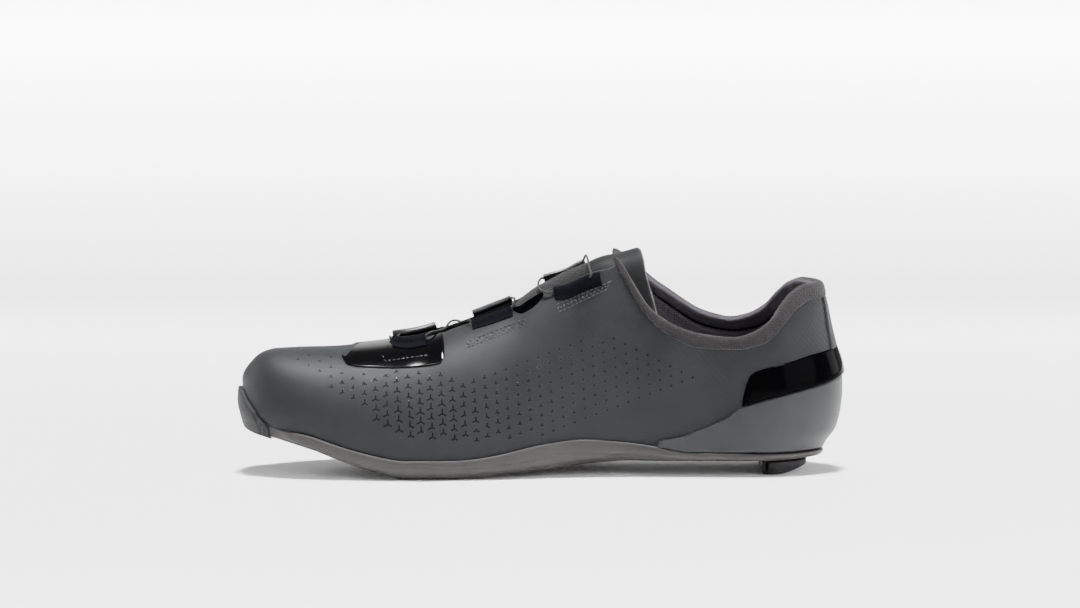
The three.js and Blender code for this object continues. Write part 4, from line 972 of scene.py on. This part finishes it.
def piece_mesh(points, faces):
    """Plain welded mesh in metres, for cutting."""
    mesh = bpy.data.meshes.new("cut")
    mesh.from_pydata(((points.reshape(-1, 3) + SHIFT) * 0.001).tolist(), [], faces.tolist())
    work = bmesh.new()
    work.from_mesh(mesh)
    bmesh.ops.remove_doubles(work, verts=work.verts, dist=2e-6)
    bmesh.ops.recalc_face_normals(work, faces=work.faces)
    work.to_mesh(mesh)
    work.free()
    return mesh


def build_inserts():
    """Threaded cleat inserts, turned, with a chamfered hole."""
    profile = [(0, 2.0), (0, 1.2), (2.3, 1.2), (2.3, 0.55), (2.6, 0.2), (2.9, 0.1), (5.0, 0.1), (5.35, 0.2),
               (5.5, 0.45), (5.5, 2.0), (0, 2.0)]
    for name, (x, y) in nut_centres().items():
        ring, faces = lathe(profile, 48)
        nut = piece(f"insert_{name}", [(ring + np.array([x, y, 0.0]), faces)], STEEL, [f"cleat_nut_{name}"])
        nut.data.set_sharp_from_angle(angle=math.radians(35))


def build_bumper():
    """Rubber toe bumper with a bead along its top edge and a stepped tab at both ends."""
    share = np.linspace(-1, 1, 161)
    angle = share * BUMPER_HALF_TURN
    along, away = along_of(angle), np.abs(share)
    low, under = feather_height(along), underside_height(along)
    tall = bumper_share(away) * (TOE_HEIGHT - low)
    tab = smooth(away, 0.80, 0.84)
    tall = tall - 0.9 * tab * (1 - smooth(away, 0.84, 0.99))
    proud = BUMPER_PROUD - 0.55 * tab + 0.5 * mound(away, 0.90, 0.02)
    end = bevel_share((share + 1) / 2, 0.012)
    proud = 0.2 + (proud - 0.2) * end
    top, middle = rise_at_height(along, low + tall), rise_at_height(along, low + tall * 0.5)
    near = rise_at_height(along, low + tall * 0.86)
    bead = smooth(away, 1.0, 0.9) * 0.35
    rows = [
        offset(angle, top, proud * 0.6 + bead),
        offset(angle, near, proud * 0.9 + bead * 0.2),
        offset(angle, middle, proud),
        edge_point(angle, proud, low + 0.5),
        edge_point(angle, 1.3 * end, under + 0.2),
        edge_point(angle, -3, under - 1.5 * end * (1 - 0.9 * smooth(away, 0.55, 0.95))),
        edge_point(angle, -3, under - 0.1 * end),
        edge_point(angle, 0.0, under - 0.1),
        edge_point(angle, 0.0, low + 0.3),
        offset(angle, middle, -0.1),
        offset(angle, top, -0.15),
    ]
    points = rounded(rows, [0.5, 0.8, 2.0, 1.0, 0.9, 0.4, 0.2, 0.2, 0.2, 0.2, 0.2], closed=True)
    rows_in = points.shape[1]
    caps = np.arange(rows_in)[None, :]
    piece("bumper_cap", [(points, grid_quads(len(angle), rows_in, close_rows=True)), (points[:1], caps),
                         (points[-1:], caps[:, ::-1])], RUBBER, ["toe_bumper"])


def build_heel_pad():
    """Rubber walking pad: straight front, round back, moulded bevel and three cross grooves."""
    front, back = (float(plain_x(a, PLAN_LEVEL)) for a in PAD_SPAN)
    half = HEEL_WIDTH * 0.36
    corner = half * 0.75
    t = np.linspace(0, 1, 24)[:, None]
    bend = lambda a, b, c: (1 - t) ** 2 * np.array(a) + 2 * t * (1 - t) * np.array(b) + t**2 * np.array(c)
    outline = np.concatenate([
        bend((front, 0), (front, -half * 0.4), (front, -half + 3))[:-1],
        bend((front, -half + 3), (front, -half), (front + 3, -half))[:-1],
        bend((front + 3, -half), (back - corner - 3, -half), (back - corner, -half))[:-1],
        bend((back - corner, -half), (back, -half * 0.95), (back, 0))[:-1],
    ])
    outline = np.concatenate([outline, [[back, 0.0]], outline[:0:-1] * [1, -1]])
    centre = outline.mean(0)
    levels = [(PAD_HEIGHT, 0), (2.2, 0), (1.9, 0.25), (1.6, 0), (1.0, 0), (0.6, 0.12), (0.25, 0.45), (0.05, 0.9),
              (0, 1.6)]
    rows = []
    for z, inset in levels:
        ring = centre + (outline - centre) * (1 - inset / half)
        rows.append(np.concatenate([ring, np.full((len(ring), 1), z)], axis=1))
    for share in np.linspace(0.85, 0, 14):
        ring = centre + (outline - centre) * (1 - 1.6 / half) * share
        groove = 0.7 * np.clip(1.6 * np.cos((ring[:, 0] - front) * 2 * math.pi / 5.2) - 1.0, 0, 0.6)
        rows.append(np.concatenate([ring, groove[:, None]], axis=1))
    points = np.stack(rows, axis=1)
    lift = 3.2 * smooth(points[..., 0], front + 5.5, back + 2.0) * (1 - points[..., 2] / PAD_HEIGHT)
    points = points + lift[..., None] * np.array([0.0, 0.0, 1.0])
    cap = np.arange(len(outline))[None, :]
    pad = piece("walking_pad", [(points, grid_quads(len(outline), points.shape[1], close_columns=True)),
                                (points[:, 0], cap)], RUBBER, ["heel_pad"])
    pad.data.set_sharp_from_angle(angle=math.radians(45))


def lip_height(angle):
    """Height of the sole's side lip."""
    along = along_of(angle)
    share = np.where(np.sin(angle) < -1e-9, lip_lateral(along), lip_medial(along))
    return feather_height(along) - SEAT + share * SOLE_THICKNESS


def build_heel():
    """Matte heel cup, gloss band with a flared back, and the microfibre strip up the back seam."""
    start = float(station(CUP["along"][0]))

    def cup_at(u, w):
        angle = start + (2 * math.pi - 2 * start) * u
        low = lip_height(angle) + 0.1
        high = np.maximum(cup_share(along_of(angle)) * INSTEP_HEIGHT + 0.5, low + 0.8)
        return angle, rise_at_height(along_of(angle), low + (high - low) * w)

    pad, _ = strip(cup_at, -0.2, CUP_PROUD, 260, 60, reach=(0.012, 0.05))
    piece("heel_counter", pad, CUP_MAT, ["heel_cup"])

    begin = float(station(BAND["along"][0]))

    def band_at(u, w):
        angle = begin + (2 * math.pi - 2 * begin) * u
        low = cup_share(along_of(angle)) * INSTEP_HEIGHT + 0.35
        high = np.maximum(band_share(along_of(angle)) * INSTEP_HEIGHT, low + 1)
        return angle, rise_at_height(along_of(angle), low + (high - low) * w)

    def band_out(u, w):
        flare = CUP_PROUD * 0.8 + (BAND_PROUD - CUP_PROUD * 0.8) * np.sin(math.pi * u) ** 2
        return SEAT + (flare - SEAT) * (1 - 0.75 * w**1.5) + 0.1

    pad, _ = strip(band_at, -0.2, band_out, 240, 48, reach=(0.010, 0.05))
    piece("gloss_counter_band", pad, BAND_GLOSS, ["heel_gloss_band"])

    def strip_at(u, w):
        angle = math.pi + 0.17 * (2 * u - 1) * (1.25 - 0.4 * w)
        low = band_share(along_of(angle)) * INSTEP_HEIGHT - 0.8
        high = collar_height(angle) - roll_width(angle) + 0.3
        return angle, rise_at_height(along_of(angle), low + (high - low) * w)

    pad, _ = strip(strip_at, -0.15, STRIP_PROUD, 60, 60, reach=(0.06, 0.03))
    piece("back_seam_strip", pad, STRIP, ["heel_back_strip"])


def build_film():
    """Two sides of polished film that meet on the ridge in front of the throat."""
    first, end = FILM["along"][0], FILM["along"][-1]
    for name, way in (("medial", 1), ("lateral", -1)):
        def at(u, w):
            along = first + (end - first) * u**1.3
            angle = station(along)
            low = rise_at_height(along, film_share(along) * TOE_HEIGHT)
            lead = smooth(along, first - 0.002, first + 0.034)
            ridge = low + (HALF_TURN + 0.004 - low) * (0.1 + 0.9 * lead)
            inside = np.where(along < THROAT_START + 1e-5, HALF_TURN, rise_below(angle, edge_rise(angle), 0.3))
            high = ridge + (inside - ridge) * smooth(along, THROAT_START, THROAT_START + 0.006)
            return way * angle, low + (np.maximum(high, low + 0.02) - low) * w

        pad, _ = strip(at, -0.15, PATCH_PROUD * 0.8, 140, 70, reach=(0.02, 0.012))
        if way < 0:
            pad = [(points, faces[:, ::-1]) for points, faces in pad]
        piece(f"throat_film_{name}", pad, GLOSS, ["throat_gloss_patch"])


build_collar()
build_lining()
build_tongue()
build_insole()
build_sole()
build_inserts()
build_bumper()
build_heel_pad()
build_heel()
build_film()


# Closure: webbing loops, guides, laces and dials

VIEW_TILT = math.radians(6.0)
LOOP_SPANS = [(0.254, 0.312), (0.392, 0.462), (0.538, 0.622)]
GUIDE_SPANS = [(0.254, 0.330), (0.393, 0.462), (0.523, 0.600)]


def fine_line(points, count):
    """Smooth open curve through a few rows of numbers, by Catmull and Rom's cubic, evenly spaced."""
    points = np.asarray(points, float)
    ends = np.concatenate([[2 * points[0] - points[1]], points, [2 * points[-1] - points[-2]]])
    t = np.linspace(0, len(points) - 1, 24 * len(points))
    i = np.minimum(t.astype(int), len(points) - 2)
    f = (t - i)[:, None]
    p0, p1, p2, p3 = (ends[i + d] for d in range(4))
    dense = cubic(p0, p1, p2, p3, f)
    walk = np.cumsum(np.r_[0, np.linalg.norm(np.diff(dense, axis=0), axis=-1)])
    even = np.linspace(0, walk[-1], count)
    return np.stack([np.interp(even, walk, dense[:, k]) for k in range(dense.shape[1])], axis=-1)


def strap_parts(span, lateral, centre, half, base, columns=60):
    """Band folded over the throat edge.

    centre is its middle line as (millimetres below the throat edge, millimetres over the upper);
    the band keeps half a thickness on both sides of it and is as wide as its span of the shoe.
    """
    line = fine_line(centre, 70)
    way = np.gradient(line, axis=0)
    way /= np.linalg.norm(way, axis=-1, keepdims=True)
    across = np.stack([-way[:, 1], way[:, 0]], axis=-1)
    walk = np.linspace(0, 1, len(line))
    thin = half * (0.25 + 0.75 * bevel_share(walk, 0.02))[:, None]
    ring = np.concatenate([line + across * thin, (line - across * thin)[::-1]])
    u = eased(columns)
    along = span[0] + (span[1] - span[0]) * u
    angle = station(along)
    edge = edge_rise(angle)
    pinch = (0.35 + 0.65 * bevel_share(u, 0.02))[:, None]
    middle = np.concatenate([line, line[::-1]])
    slant = 1 + 0.05 * np.sin(math.pi * u)[:, None]
    below = (middle[None, :, 0] + (ring - middle)[None, :, 0] * pinch) * slant
    high = middle[None, :, 1] + (ring - middle)[None, :, 1] * pinch
    way_round = (2 * math.pi - angle if lateral else angle)[:, None] + 0 * below
    rise = rise_below(way_round, edge[:, None] + 0 * below, below)
    points = skin(way_round, rise, high + base)
    rows = points.shape[1]
    caps = np.arange(rows)[None, :]
    length = np.r_[walk, walk[::-1]] * 30.0
    place = np.stack(np.broadcast_arrays(length[None, :], (u * (span[1] - span[0]) * 270)[:, None], 0.0), axis=-1)
    parts = [(points, grid_quads(columns, rows, close_rows=True)), (points[:1], caps[:, ::-1]), (points[-1:], caps)]
    return parts, [place, place[:1], place[-1:]]


LOOP_LINE = [(9.6, 0.05), (7.4, 0.10), (5.6, 0.35), (4.3, 1.25), (3.0, 2.05), (1.7, 1.95), (0.7, 1.1), (0.9, 0.25),
             (2.4, -0.05), (4.6, -0.05)]
SHORT_LOOP_LINE = [(6.9, 0.05), (5.8, 0.12), (4.8, 0.45), (3.9, 1.2), (2.8, 1.8), (1.7, 1.75), (0.8, 1.1), (0.9, 0.25),
                   (2.4, -0.05), (4.6, -0.05)]
GUIDE_LINE = [(14.5, 0.25), (10.5, 0.35), (7.0, 0.6), (5.0, 1.3), (3.2, 2.35), (1.0, 2.5), (-0.9, 1.9), (-1.3, 0.9),
              (-0.2, 0.25), (2.0, 0.1)]


def straps():
    """Medial webbing loops and lateral guides; each base clears what lies under it."""
    for i, span in enumerate(LOOP_SPANS):
        base = 0.95 if i == 0 else 0.15
        parts, places = strap_parts(span, False, SHORT_LOOP_LINE if i else LOOP_LINE, 0.42, base)
        piece(f"webbing_loop_{i + 1}", parts, WEB, [f"lace_loop_{i + 1}"], places)
    for i, span in enumerate(GUIDE_SPANS):
        base = (0.95, 0.2, 1.5)[i]
        parts, places = strap_parts(span, True, GUIDE_LINE, 0.62, base)
        piece(f"moulded_guide_{i + 1}", parts, GUIDE, [f"lace_guide_{i + 1}"], places)


def lace_point(along, across, lift):
    """Place of the lace: across is -1 on the medial throat edge and 1 on the lateral one."""
    angle, reach = station(along), np.abs(across)
    edge = edge_rise(angle)
    over = HALF_TURN - (HALF_TURN - edge) * np.minimum(reach, 1)
    rise = np.where(reach > 1, rise_below(angle, edge, (reach - 1) * 10), over)
    angle = np.where(across < 0, angle, -angle)
    on_tongue, on_upper = offset(angle, rise, lift, tongue_ridge), offset(angle, rise, lift)
    share = smooth(reach, 0.75, 0.95)[..., None]
    return on_tongue * (1 - share) + on_upper * share


LACES = {
    "lower_lace": [
        (0.284, 1.28, 2.4), (0.272, 1.05, 3.0), (0.262, 0.60, 0.8), (0.258, 0.00, -0.6), (0.253, -0.60, 0.9),
        (0.250, -1.05, 2.4), (0.258, -1.24, 2.05), (0.285, -1.25, 1.95), (0.308, -1.24, 2.05), (0.322, -1.08, 2.6),
        (0.333, -0.55, 0.3), (0.342, 0.20, -1.0), (0.350, 0.80, 0.6), (0.357, 0.96, 1.3), (0.364, 0.80, 0.6),
        (0.372, 0.10, -1.0), (0.380, -0.60, 0.6), (0.387, -1.06, 2.3), (0.398, -1.24, 1.25), (0.430, -1.25, 1.2),
        (0.458, -1.24, 1.25), (0.468, -1.06, 2.2), (0.468, -0.50, 0.7), (0.464, 0.20, -0.6), (0.458, 0.96, 2.2),
        (0.450, 1.26, 1.9),
    ],
    "upper_lace": [
        (0.532, 1.26, 1.9), (0.522, 0.96, 2.3), (0.516, 0.30, -0.5), (0.512, -0.40, 0.0), (0.514, -0.92, 1.5),
        (0.521, -1.22, 2.2), (0.531, -1.30, 1.8), (0.542, -1.25, 1.25), (0.572, -1.25, 1.2), (0.600, -1.24, 1.3),
        (0.608, -1.10, 2.3), (0.606, -0.60, 1.4), (0.602, 0.20, 0.2), (0.597, 0.96, 2.2), (0.590, 1.26, 1.9),
    ],
}


def laces():
    """Braided laces along their routes."""
    for name, route in LACES.items():
        route = np.array(route)
        path = fine_line(lace_point(route[:, 0], route[:, 1], route[:, 2]), 520)
        parts, places = tube(path, LACE_DIAMETER / 2, sides=12)
        piece(f"braided_{name}", parts, LACE, [name], places)


def on_normal(points, angle, rise, distance):
    """Stands points, modelled round Z, on the last: Z turns to the outward direction there."""
    out = normal(np.array(angle), np.array(rise))
    first = unit(np.cross([0.0, 1.0, 0.0], out))
    second = np.cross(out, first)
    place = offset(np.array(angle), np.array(rise), np.array(distance))
    return points[..., :1] * first + points[..., 1:2] * second + points[..., 2:] * out + place


def dials():
    """Lace dials: a stepped base and a knurled aluminium knob with a dished face."""
    for name, along in (("lower", 0.350), ("upper", 0.552)):
        angle = 2 * math.pi - float(station(along))
        rise = float(rise_below(angle, edge_rise(angle), 34))
        reach = DIAL_RADIUS + 2
        base = rounded_profile([(0, -1.2), (reach - 1.5, -1.2), (reach + 0.6, -0.6), (reach + 0.3, 0.5),
                                (reach - 1.0, 2.6), (reach - 1.8, DIAL_BASE_HEIGHT), (0, DIAL_BASE_HEIGHT)])
        ring, faces = lathe(base, 96)
        piece(f"dial_housing_{name}", [(on_normal(ring, angle, rise, DIAL_STANDOFF), faces)], GUIDE,
              [f"dial_base_{name}"])
        knob = rounded_profile([(0, 0), (DIAL_RADIUS - 0.5, 0), (DIAL_RADIUS, 0.5), (DIAL_RADIUS, DIAL_HEIGHT - 1.3),
                                (DIAL_RADIUS - 1.2, DIAL_HEIGHT), (DIAL_RADIUS - 3.0, DIAL_HEIGHT - 0.1),
                                (DIAL_RADIUS - 3.6, DIAL_HEIGHT - 0.8), (0, DIAL_HEIGHT - 0.5)])
        ring, faces = lathe(knob, 288)
        turn = np.arctan2(ring[..., 1], ring[..., 0])
        outer = smooth(np.hypot(ring[..., 0], ring[..., 1]), DIAL_RADIUS - 1.0, DIAL_RADIUS - 0.1)
        ring[..., :2] *= (1 - 0.045 * outer * smooth(np.cos(turn * 32), -0.2, 0.9))[..., None]
        over = DIAL_STANDOFF + DIAL_BASE_HEIGHT + 0.15
        grip = on_normal(ring, angle, rise, over)
        piece(f"dial_grip_{name}", [(grip, faces)], METAL, [f"dial_knob_{name}"])


def rounded_profile(points):
    """Lathe profile with round corners."""
    rows = [np.array([[x, z, 0.0]]) for x, z in points]
    return rounded(rows, [0.6] * len(points), steps=4)[0, :, :2]


straps()
laces()
dials()


# Small things laid on the upper: perforations, stitches, seams and piping

FIELD = [
    (-119.3, 55.7), (-113.6, 50.2), (-110.4, 47.4), (-106.7, 44.9), (-103.0, 42.4), (-98.4, 39.6), (-93.8, 36.8),
    (-89.4, 33.6), (-84.5, 29.9), (-79.9, 26.7), (-75.3, 23.5), (-71.2, 20.2), (-65.6, 17.0), (-56.0, 14.7),
    (-28.3, 13.8), (-0.6, 15.2), (4.0, 17.0), (39.5, 30.8), (58.8, 36.8), (73.4, 42.4), (64.8, 47.0), (55.1, 52.0),
    (45.9, 53.0), (37.2, 62.6), (17.8, 59.4), (3.0, 54.3), (-6.2, 50.7), (-15.9, 47.0), (-25.5, 43.7), (-35.2, 40.1),
    (-43.1, 44.7), (-47.7, 46.0), (-87.3, 45.6), (-91.9, 48.4), (-93.8, 52.0), (-106.7, 56.2),
]


def seen(x, up):
    """Angle and rise of the medial point that shows at x and up in the photo's view, in millimetres.

    Bisects the rise for the height that shows, then moves along the shoe by what x is off.
    """
    x, up = np.broadcast_arrays(np.asarray(x, float), np.asarray(up, float))
    along = x / SHOE_LENGTH + 0.5
    for _ in range(6):
        angle = station(np.clip(along, 0.001, 0.999))
        low, high = np.zeros_like(x), np.full_like(x, HALF_TURN * 0.985)
        for _ in range(24):
            middle = (low + high) / 2
            point = last(angle, middle)
            under = point[..., 2] * math.cos(VIEW_TILT) + point[..., 1] * math.sin(VIEW_TILT) < up
            low, high = np.where(under, middle, low), np.where(under, high, middle)
        along = along + (x - last(angle, low)[..., 0]) / SHOE_LENGTH
    return angle, low


def inside(x, y, outline):
    """Whether points lie in an outline: a ray from each crosses its edges an odd number of times."""
    a = np.array(outline)
    b = np.roll(a, -1, axis=0)
    x, y = x[..., None], y[..., None]
    spans = (a[:, 1] > y) != (b[:, 1] > y)
    rise = np.where(a[:, 1] == b[:, 1], 1.0, b[:, 1] - a[:, 1])
    return (spans & (x < a[:, 0] + (y - a[:, 1]) * (b[:, 0] - a[:, 0]) / rise)).sum(-1) % 2 == 1


def stamped(angle, rise, turn, shape, faces, way=1):
    """Copies of a small shape on the upper, its X turned from the shoe's length, its Z outward.

    Each point is the place on the surface plus its numbers times the tangents and the normal there;
    way -1 mirrors the copies for the lateral side.
    """
    angle = angle if way > 0 else 2 * math.pi - angle
    out = normal(angle, rise)
    first = unit(np.array([1.0, 0.0, 0.0]) - out * out[..., :1])
    second = np.cross(out, first) * way
    ahead = first * np.cos(turn)[:, None] + second * np.sin(turn)[:, None]
    beside = second * np.cos(turn)[:, None] - first * np.sin(turn)[:, None]
    points = skin(angle, rise, 0 * rise)[:, None] + shape[..., :1] * ahead[:, None]
    points = points + shape[..., 1:2] * beside[:, None] + shape[..., 2:] * out[:, None]
    step = np.arange(len(angle))[:, None, None] * shape.shape[-2]
    return points, (faces[None, :, ::way] + step).reshape(-1, faces.shape[-1])


def three_arms(arm, wide):
    """Outline of 18 points with three round arms, one of them up: six points for each arm."""
    parts = []
    for k in range(3):
        turn = math.pi / 2 + k * 2 * math.pi / 3
        walk = np.stack([0.29 * wide, arm - wide / 2, arm - 0.15 * wide, arm, arm - 0.15 * wide, arm - wide / 2], -1)
        off = np.stack([-0.5 * wide, -0.5 * wide, -0.35 * wide, 0 * wide, 0.35 * wide, 0.5 * wide], -1)
        x = walk * math.cos(turn) - off * math.sin(turn)
        parts.append(np.stack([x, walk * math.sin(turn) + off * math.cos(turn)], -1))
    return np.concatenate(parts, axis=-2)


def perforations():
    """Field of three-armed holes, largest at the ball: a raised glossy rim round a near-black plate, painted shadow
    standing for the hole.
    """
    i, j = (a.ravel() for a in np.meshgrid(np.arange(-40, 60), np.arange(-30, 40), indexing="ij"))
    x, up = -60.0 + 4.9 * i - 0.25 * j, 25.0 + 1.85 * i + 4.4 * j
    kept = inside(x, up, FIELD)
    x, up = x[kept], up[kept]
    angle, rise = seen(x, up)
    big = np.exp(-(((x + 56.0) / 46.0) ** 2) - ((up - 24.0) / 20.0) ** 2)
    clear = rise < rise_below(angle, edge_rise(angle), 2.5)
    angle, rise, big = angle[clear], rise[clear], big[clear]
    arm = 0.62 + 1.75 * big
    wide = 0.58 + 0.06 * big
    line = three_arms(arm, wide)
    grow = 1 + (0.20 / arm)[:, None, None]
    shrink = 1 - (0.04 / arm)[:, None, None]
    level = lambda flat, z: np.concatenate([flat, np.broadcast_to(z[:, None, None], flat.shape[:-1] + (1,))], axis=-1)
    one = np.ones(len(arm))
    rims = np.concatenate([level(line * grow, -0.12 * one), level(line * (1 + 0.3 * (grow - 1)), 0.04 + 0.10 * big),
                           level(line * shrink, 0.02 * one)], axis=-2)
    rows = np.arange(18)
    rim = np.concatenate([np.stack([rows + 18 * k, (rows + 1) % 18 + 18 * k, (rows + 1) % 18 + 18 * (k + 1),
                                    rows + 18 * (k + 1)], -1) for k in (0, 1)])
    # Flat near-black plate inside each rim: painted shadow for the hole.
    plate, fan = level(line * shrink, 0.03 * one), np.arange(18)[None]
    for name, shape, faces, material in (("perforation_rims", rims, rim, RIM), ("perforations", plate, fan, HOLE_SHADOW)):
        parts = [stamped(angle, rise, 0 * rise, shape, faces, way) for way in (1, -1)]
        piece(name, parts, material, weld=False)


def dome(long, wide, high):
    """Low oval dome: rings of an ellipsoid with its foot sunk, and a point on top."""
    turn = np.linspace(0, 2 * math.pi, 10, endpoint=False)
    level = np.radians([0.0, 0.0, 28.0, 58.0])
    ring = np.stack(np.broadcast_arrays(np.cos(level)[:, None] * np.cos(turn) * long / 2,
                                        np.cos(level)[:, None] * np.sin(turn) * wide / 2,
                                        np.sin(level)[:, None] * high), -1)
    ring[0, :, 2] = -0.2
    points = np.concatenate([ring.reshape(-1, 3), [[0, 0, high]]])
    k = np.arange(10)
    walls = [np.stack([k + 10 * row, (k + 1) % 10 + 10 * row, (k + 1) % 10 + 10 * row + 10, k + 10 * row + 10], -1)
             for row in range(3)]
    top = np.stack([k + 30, (k + 1) % 10 + 30, 0 * k + 40, 0 * k + 40], -1)
    return points[None], np.concatenate(walls + [top])


def stitch_line(route, pitch):
    """Even places along a route in the view, with their direction."""
    route = np.array(route, float)
    walk = np.r_[0, np.cumsum(np.linalg.norm(np.diff(route, axis=0), axis=-1))]
    places = np.arange(pitch / 2, walk[-1], pitch)
    x, up = np.interp(places, walk, route[:, 0]), np.interp(places, walk, route[:, 1])
    ahead = [np.interp(places + 0.4, walk, route[:, k]) - np.interp(places - 0.4, walk, route[:, k]) for k in (0, 1)]
    return x, up, np.arctan2(ahead[1], ahead[0])


LOOP_BOXES = [
    [(-73.0, 52.2), (-71.2, 49.3), (-50.9, 52.2)],
    [(-7.6, 69.1), (-34.3, 58.5), (-34.3, 56.0), (-8.0, 65.9), (-7.6, 69.1)],
    [(31.6, 86.2), (7.2, 75.6), (8.1, 72.3), (29.3, 82.5), (31.6, 86.2)],
]


def stitches():
    """Box stitches under the loops, with a zigzag inside the two rear ones."""
    x, up, turn = [], [], []
    for box in LOOP_BOXES:
        for got, more in zip((x, up, turn), stitch_line(box, 2.1)):
            got.append(more)
    for box in LOOP_BOXES[1:]:
        (x1, z1), (x2, z2), (x3, z3), (x4, z4) = box[:4]
        share = np.linspace(0.04, 0.96, 13)
        top = np.stack([x2 + (x1 - x2) * share, z2 + (z1 - z2) * share], -1)
        low = np.stack([x3 + (x4 - x3) * share, z3 + (z4 - z3) * share], -1)
        middle, lean = (top + low) / 2, np.arctan2(z1 - z2, x1 - x2)
        x.append(middle[:, 0])
        up.append(middle[:, 1])
        turn.append(lean + np.where(np.arange(13) % 2, 0.9, -0.9))
    x, up, turn = (np.concatenate(a) for a in (x, up, turn))
    angle, rise = seen(x, up)
    shape, faces = dome(1.75, 0.62, 0.42)
    on_film = x < -48
    high = np.where(on_film, PATCH_PROUD * 0.8, 0.0)[:, None, None] * np.array([0, 0, 1.0])
    piece("loop_stitches", [stamped(angle, rise, turn, shape + high, faces)], THREAD, weld=False)


def raised_line(name, angle, rise, lift, radius, material):
    """Thin round bead that follows the upper at a lift in millimetres."""
    parts, places = tube(skin(angle, rise, lift + 0 * rise), radius, sides=8)
    return piece(name, parts, material, place=places)


def seams():
    """Two short beads on the heel band, piping round the tongue's end, and a near-black pad along the eyestay: painted
    shadow for its recess.
    """
    for k, off in enumerate((0.0, 1.5)):
        bead = [(95.8, 39.8), (94.4, 36.0), (93.4, 32.6), (92.9, 30.2)]
        route = fine_line([(x + off, up, 0) for x, up in bead], 60)
        angle, rise = seen(route[:, 0], route[:, 1])
        raised_line(f"heel_band_line_{k + 1}", angle, rise, BAND_PROUD - 0.08, 0.28, BAND_GLOSS)
    across = np.linspace(-0.985, 0.985, 240)
    edge = tongue_surface(0.999 + 0 * across, across, TONGUE_THICKNESS * 0.35 + 0 * across)
    parts, places = tube(edge, 0.55, sides=8)
    piece("tongue_piping", parts, PIPING, place=places)

    def recess(u, w):
        angle = station(0.463 + 0.055 * u)
        depth = 1.2 + 5.2 * np.sqrt(np.sin(math.pi * np.clip(u, 0.001, 0.999)))
        return angle, rise_below(angle, edge_rise(angle), depth * (1 - w) + 0.25)

    # Near-black pad laid on the upper: painted shadow standing for the eyestay's recess.
    pad, _ = strip(recess, -0.15, 0.32, 60, 30, reach=(0.05, 0.06))
    piece("eyestay_painted_shadow", pad, SHADOW)


perforations()
stitches()
seams()


# Light, floor and camera


def soft_light(name, place, aim, size, power, spread=180):
    """Area lamp; a small spread in degrees keeps its light on the floor below it."""
    lamp = bpy.data.lights.new(name, "AREA")
    lamp.shape = "RECTANGLE"
    lamp.size, lamp.size_y = size
    lamp.energy = power
    lamp.spread = math.radians(spread)
    thing = bpy.data.objects.new(name, lamp)
    bpy.context.scene.collection.objects.link(thing)
    thing.location = place
    way = Vector(aim) - Vector(place)
    thing.rotation_euler = way.to_track_quat("-Z", "Y").to_euler()
    return thing


def build_stage():
    """White paper floor, the sky and the lamps: three light the floor, the rest the shoe."""
    half = 6
    floor = bpy.data.meshes.new("floor")
    floor.from_pydata([(-half, -half, 0), (half, -half, 0), (half, half, 0), (-half, half, 0)], [], [(0, 1, 2, 3)])
    floor.materials.append(finish("floor_paper", "#ffffff", 0.6)[0])
    thing = bpy.data.objects.new("floor", floor)
    bpy.context.scene.collection.objects.link(thing)
    build_world()
    soft_light("back_floor", (0.0, 3.4, 2.6), (0, 3.4, 0), (6.0, 2.6), 640, 80)
    soft_light("middle_floor", (0.0, 1.35, 1.8), (0, 1.35, 0), (4.4, 1.4), 62, 30)
    soft_light("front_floor", (0.0, -1.5, 1.5), (0, -1.5, 0), (4.4, 1.3), 120, 50)
    soft_light("overhead", (0.0, -0.12, 1.8), (0, -0.119, 0), (4.0, 1.6), 76, 14)
    soft_light("toe_side", (-1.3, 0.5, 0.55), (-0.1, 0, 0.05), (0.3, 0.7), 6)
    soft_light("heel_side", (1.3, -0.9, 0.6), (0.1, 0, 0.05), (1.4, 1.2), 24)
    soft_light("heel_edge", (1.3, 0.5, 0.3), (0.13, 0, 0.04), (0.5, 0.5), 5)
    soft_light("camera_fill", (0.2, -2.2, 1.1), (0.05, 0, 0.05), (1.6, 0.8), 4)
    soft_light("ball_glint", (-0.19, -0.95, 0.71), (-0.065, -0.04, 0.035), (0.16, 0.08), 0.035, 12)


def build_world():
    """Sky of a studio: dim towards the camera (-Y) and overhead, bright low behind the shoe."""
    world = bpy.data.worlds.new("studio")
    bpy.context.scene.world = world
    world.use_nodes = True
    tree = world.node_tree
    way = add(tree, "ShaderNodeTexCoord").outputs["Generated"]
    parts = add(tree, "ShaderNodeSeparateXYZ", {"Vector": way})
    back = add(tree, "ShaderNodeMapRange", {"Value": parts.outputs["Y"]}, From_Min=-0.3, From_Max=0.7, To_Min=0.35,
               To_Max=1.2)
    low = add(tree, "ShaderNodeMapRange", {"Value": parts.outputs["Z"]}, From_Min=0.45, From_Max=0.70, To_Min=1.0,
              To_Max=0.12)
    glow = add(tree, "ShaderNodeMath", {0: back.outputs["Result"], 1: low.outputs["Result"]}, operation="MULTIPLY")
    tree.links.new(glow.outputs[0], tree.nodes["Background"].inputs["Strength"])
    tree.nodes["Background"].inputs["Color"].default_value = (1, 1, 1, 1)


def build_camera():
    """Long lens from the medial side, six degrees over the floor, like the photo."""
    lens = bpy.data.cameras.new("camera")
    lens.lens, lens.sensor_width = 200.0, 36.0
    lens.clip_start, lens.clip_end = 0.1, 50.0
    thing = bpy.data.objects.new("camera", lens)
    bpy.context.scene.collection.objects.link(thing)
    away = 2.767
    aim = Vector(((-0.65 + SHIFT[0]) * 0.001, SHIFT[1] * 0.001, 0.0764))
    thing.location = aim + Vector((0, -math.cos(VIEW_TILT) * away, math.sin(VIEW_TILT) * away))
    thing.rotation_euler = (aim - thing.location).to_track_quat("-Z", "Y").to_euler()
    bpy.context.scene.camera = thing


build_stage()
build_camera()
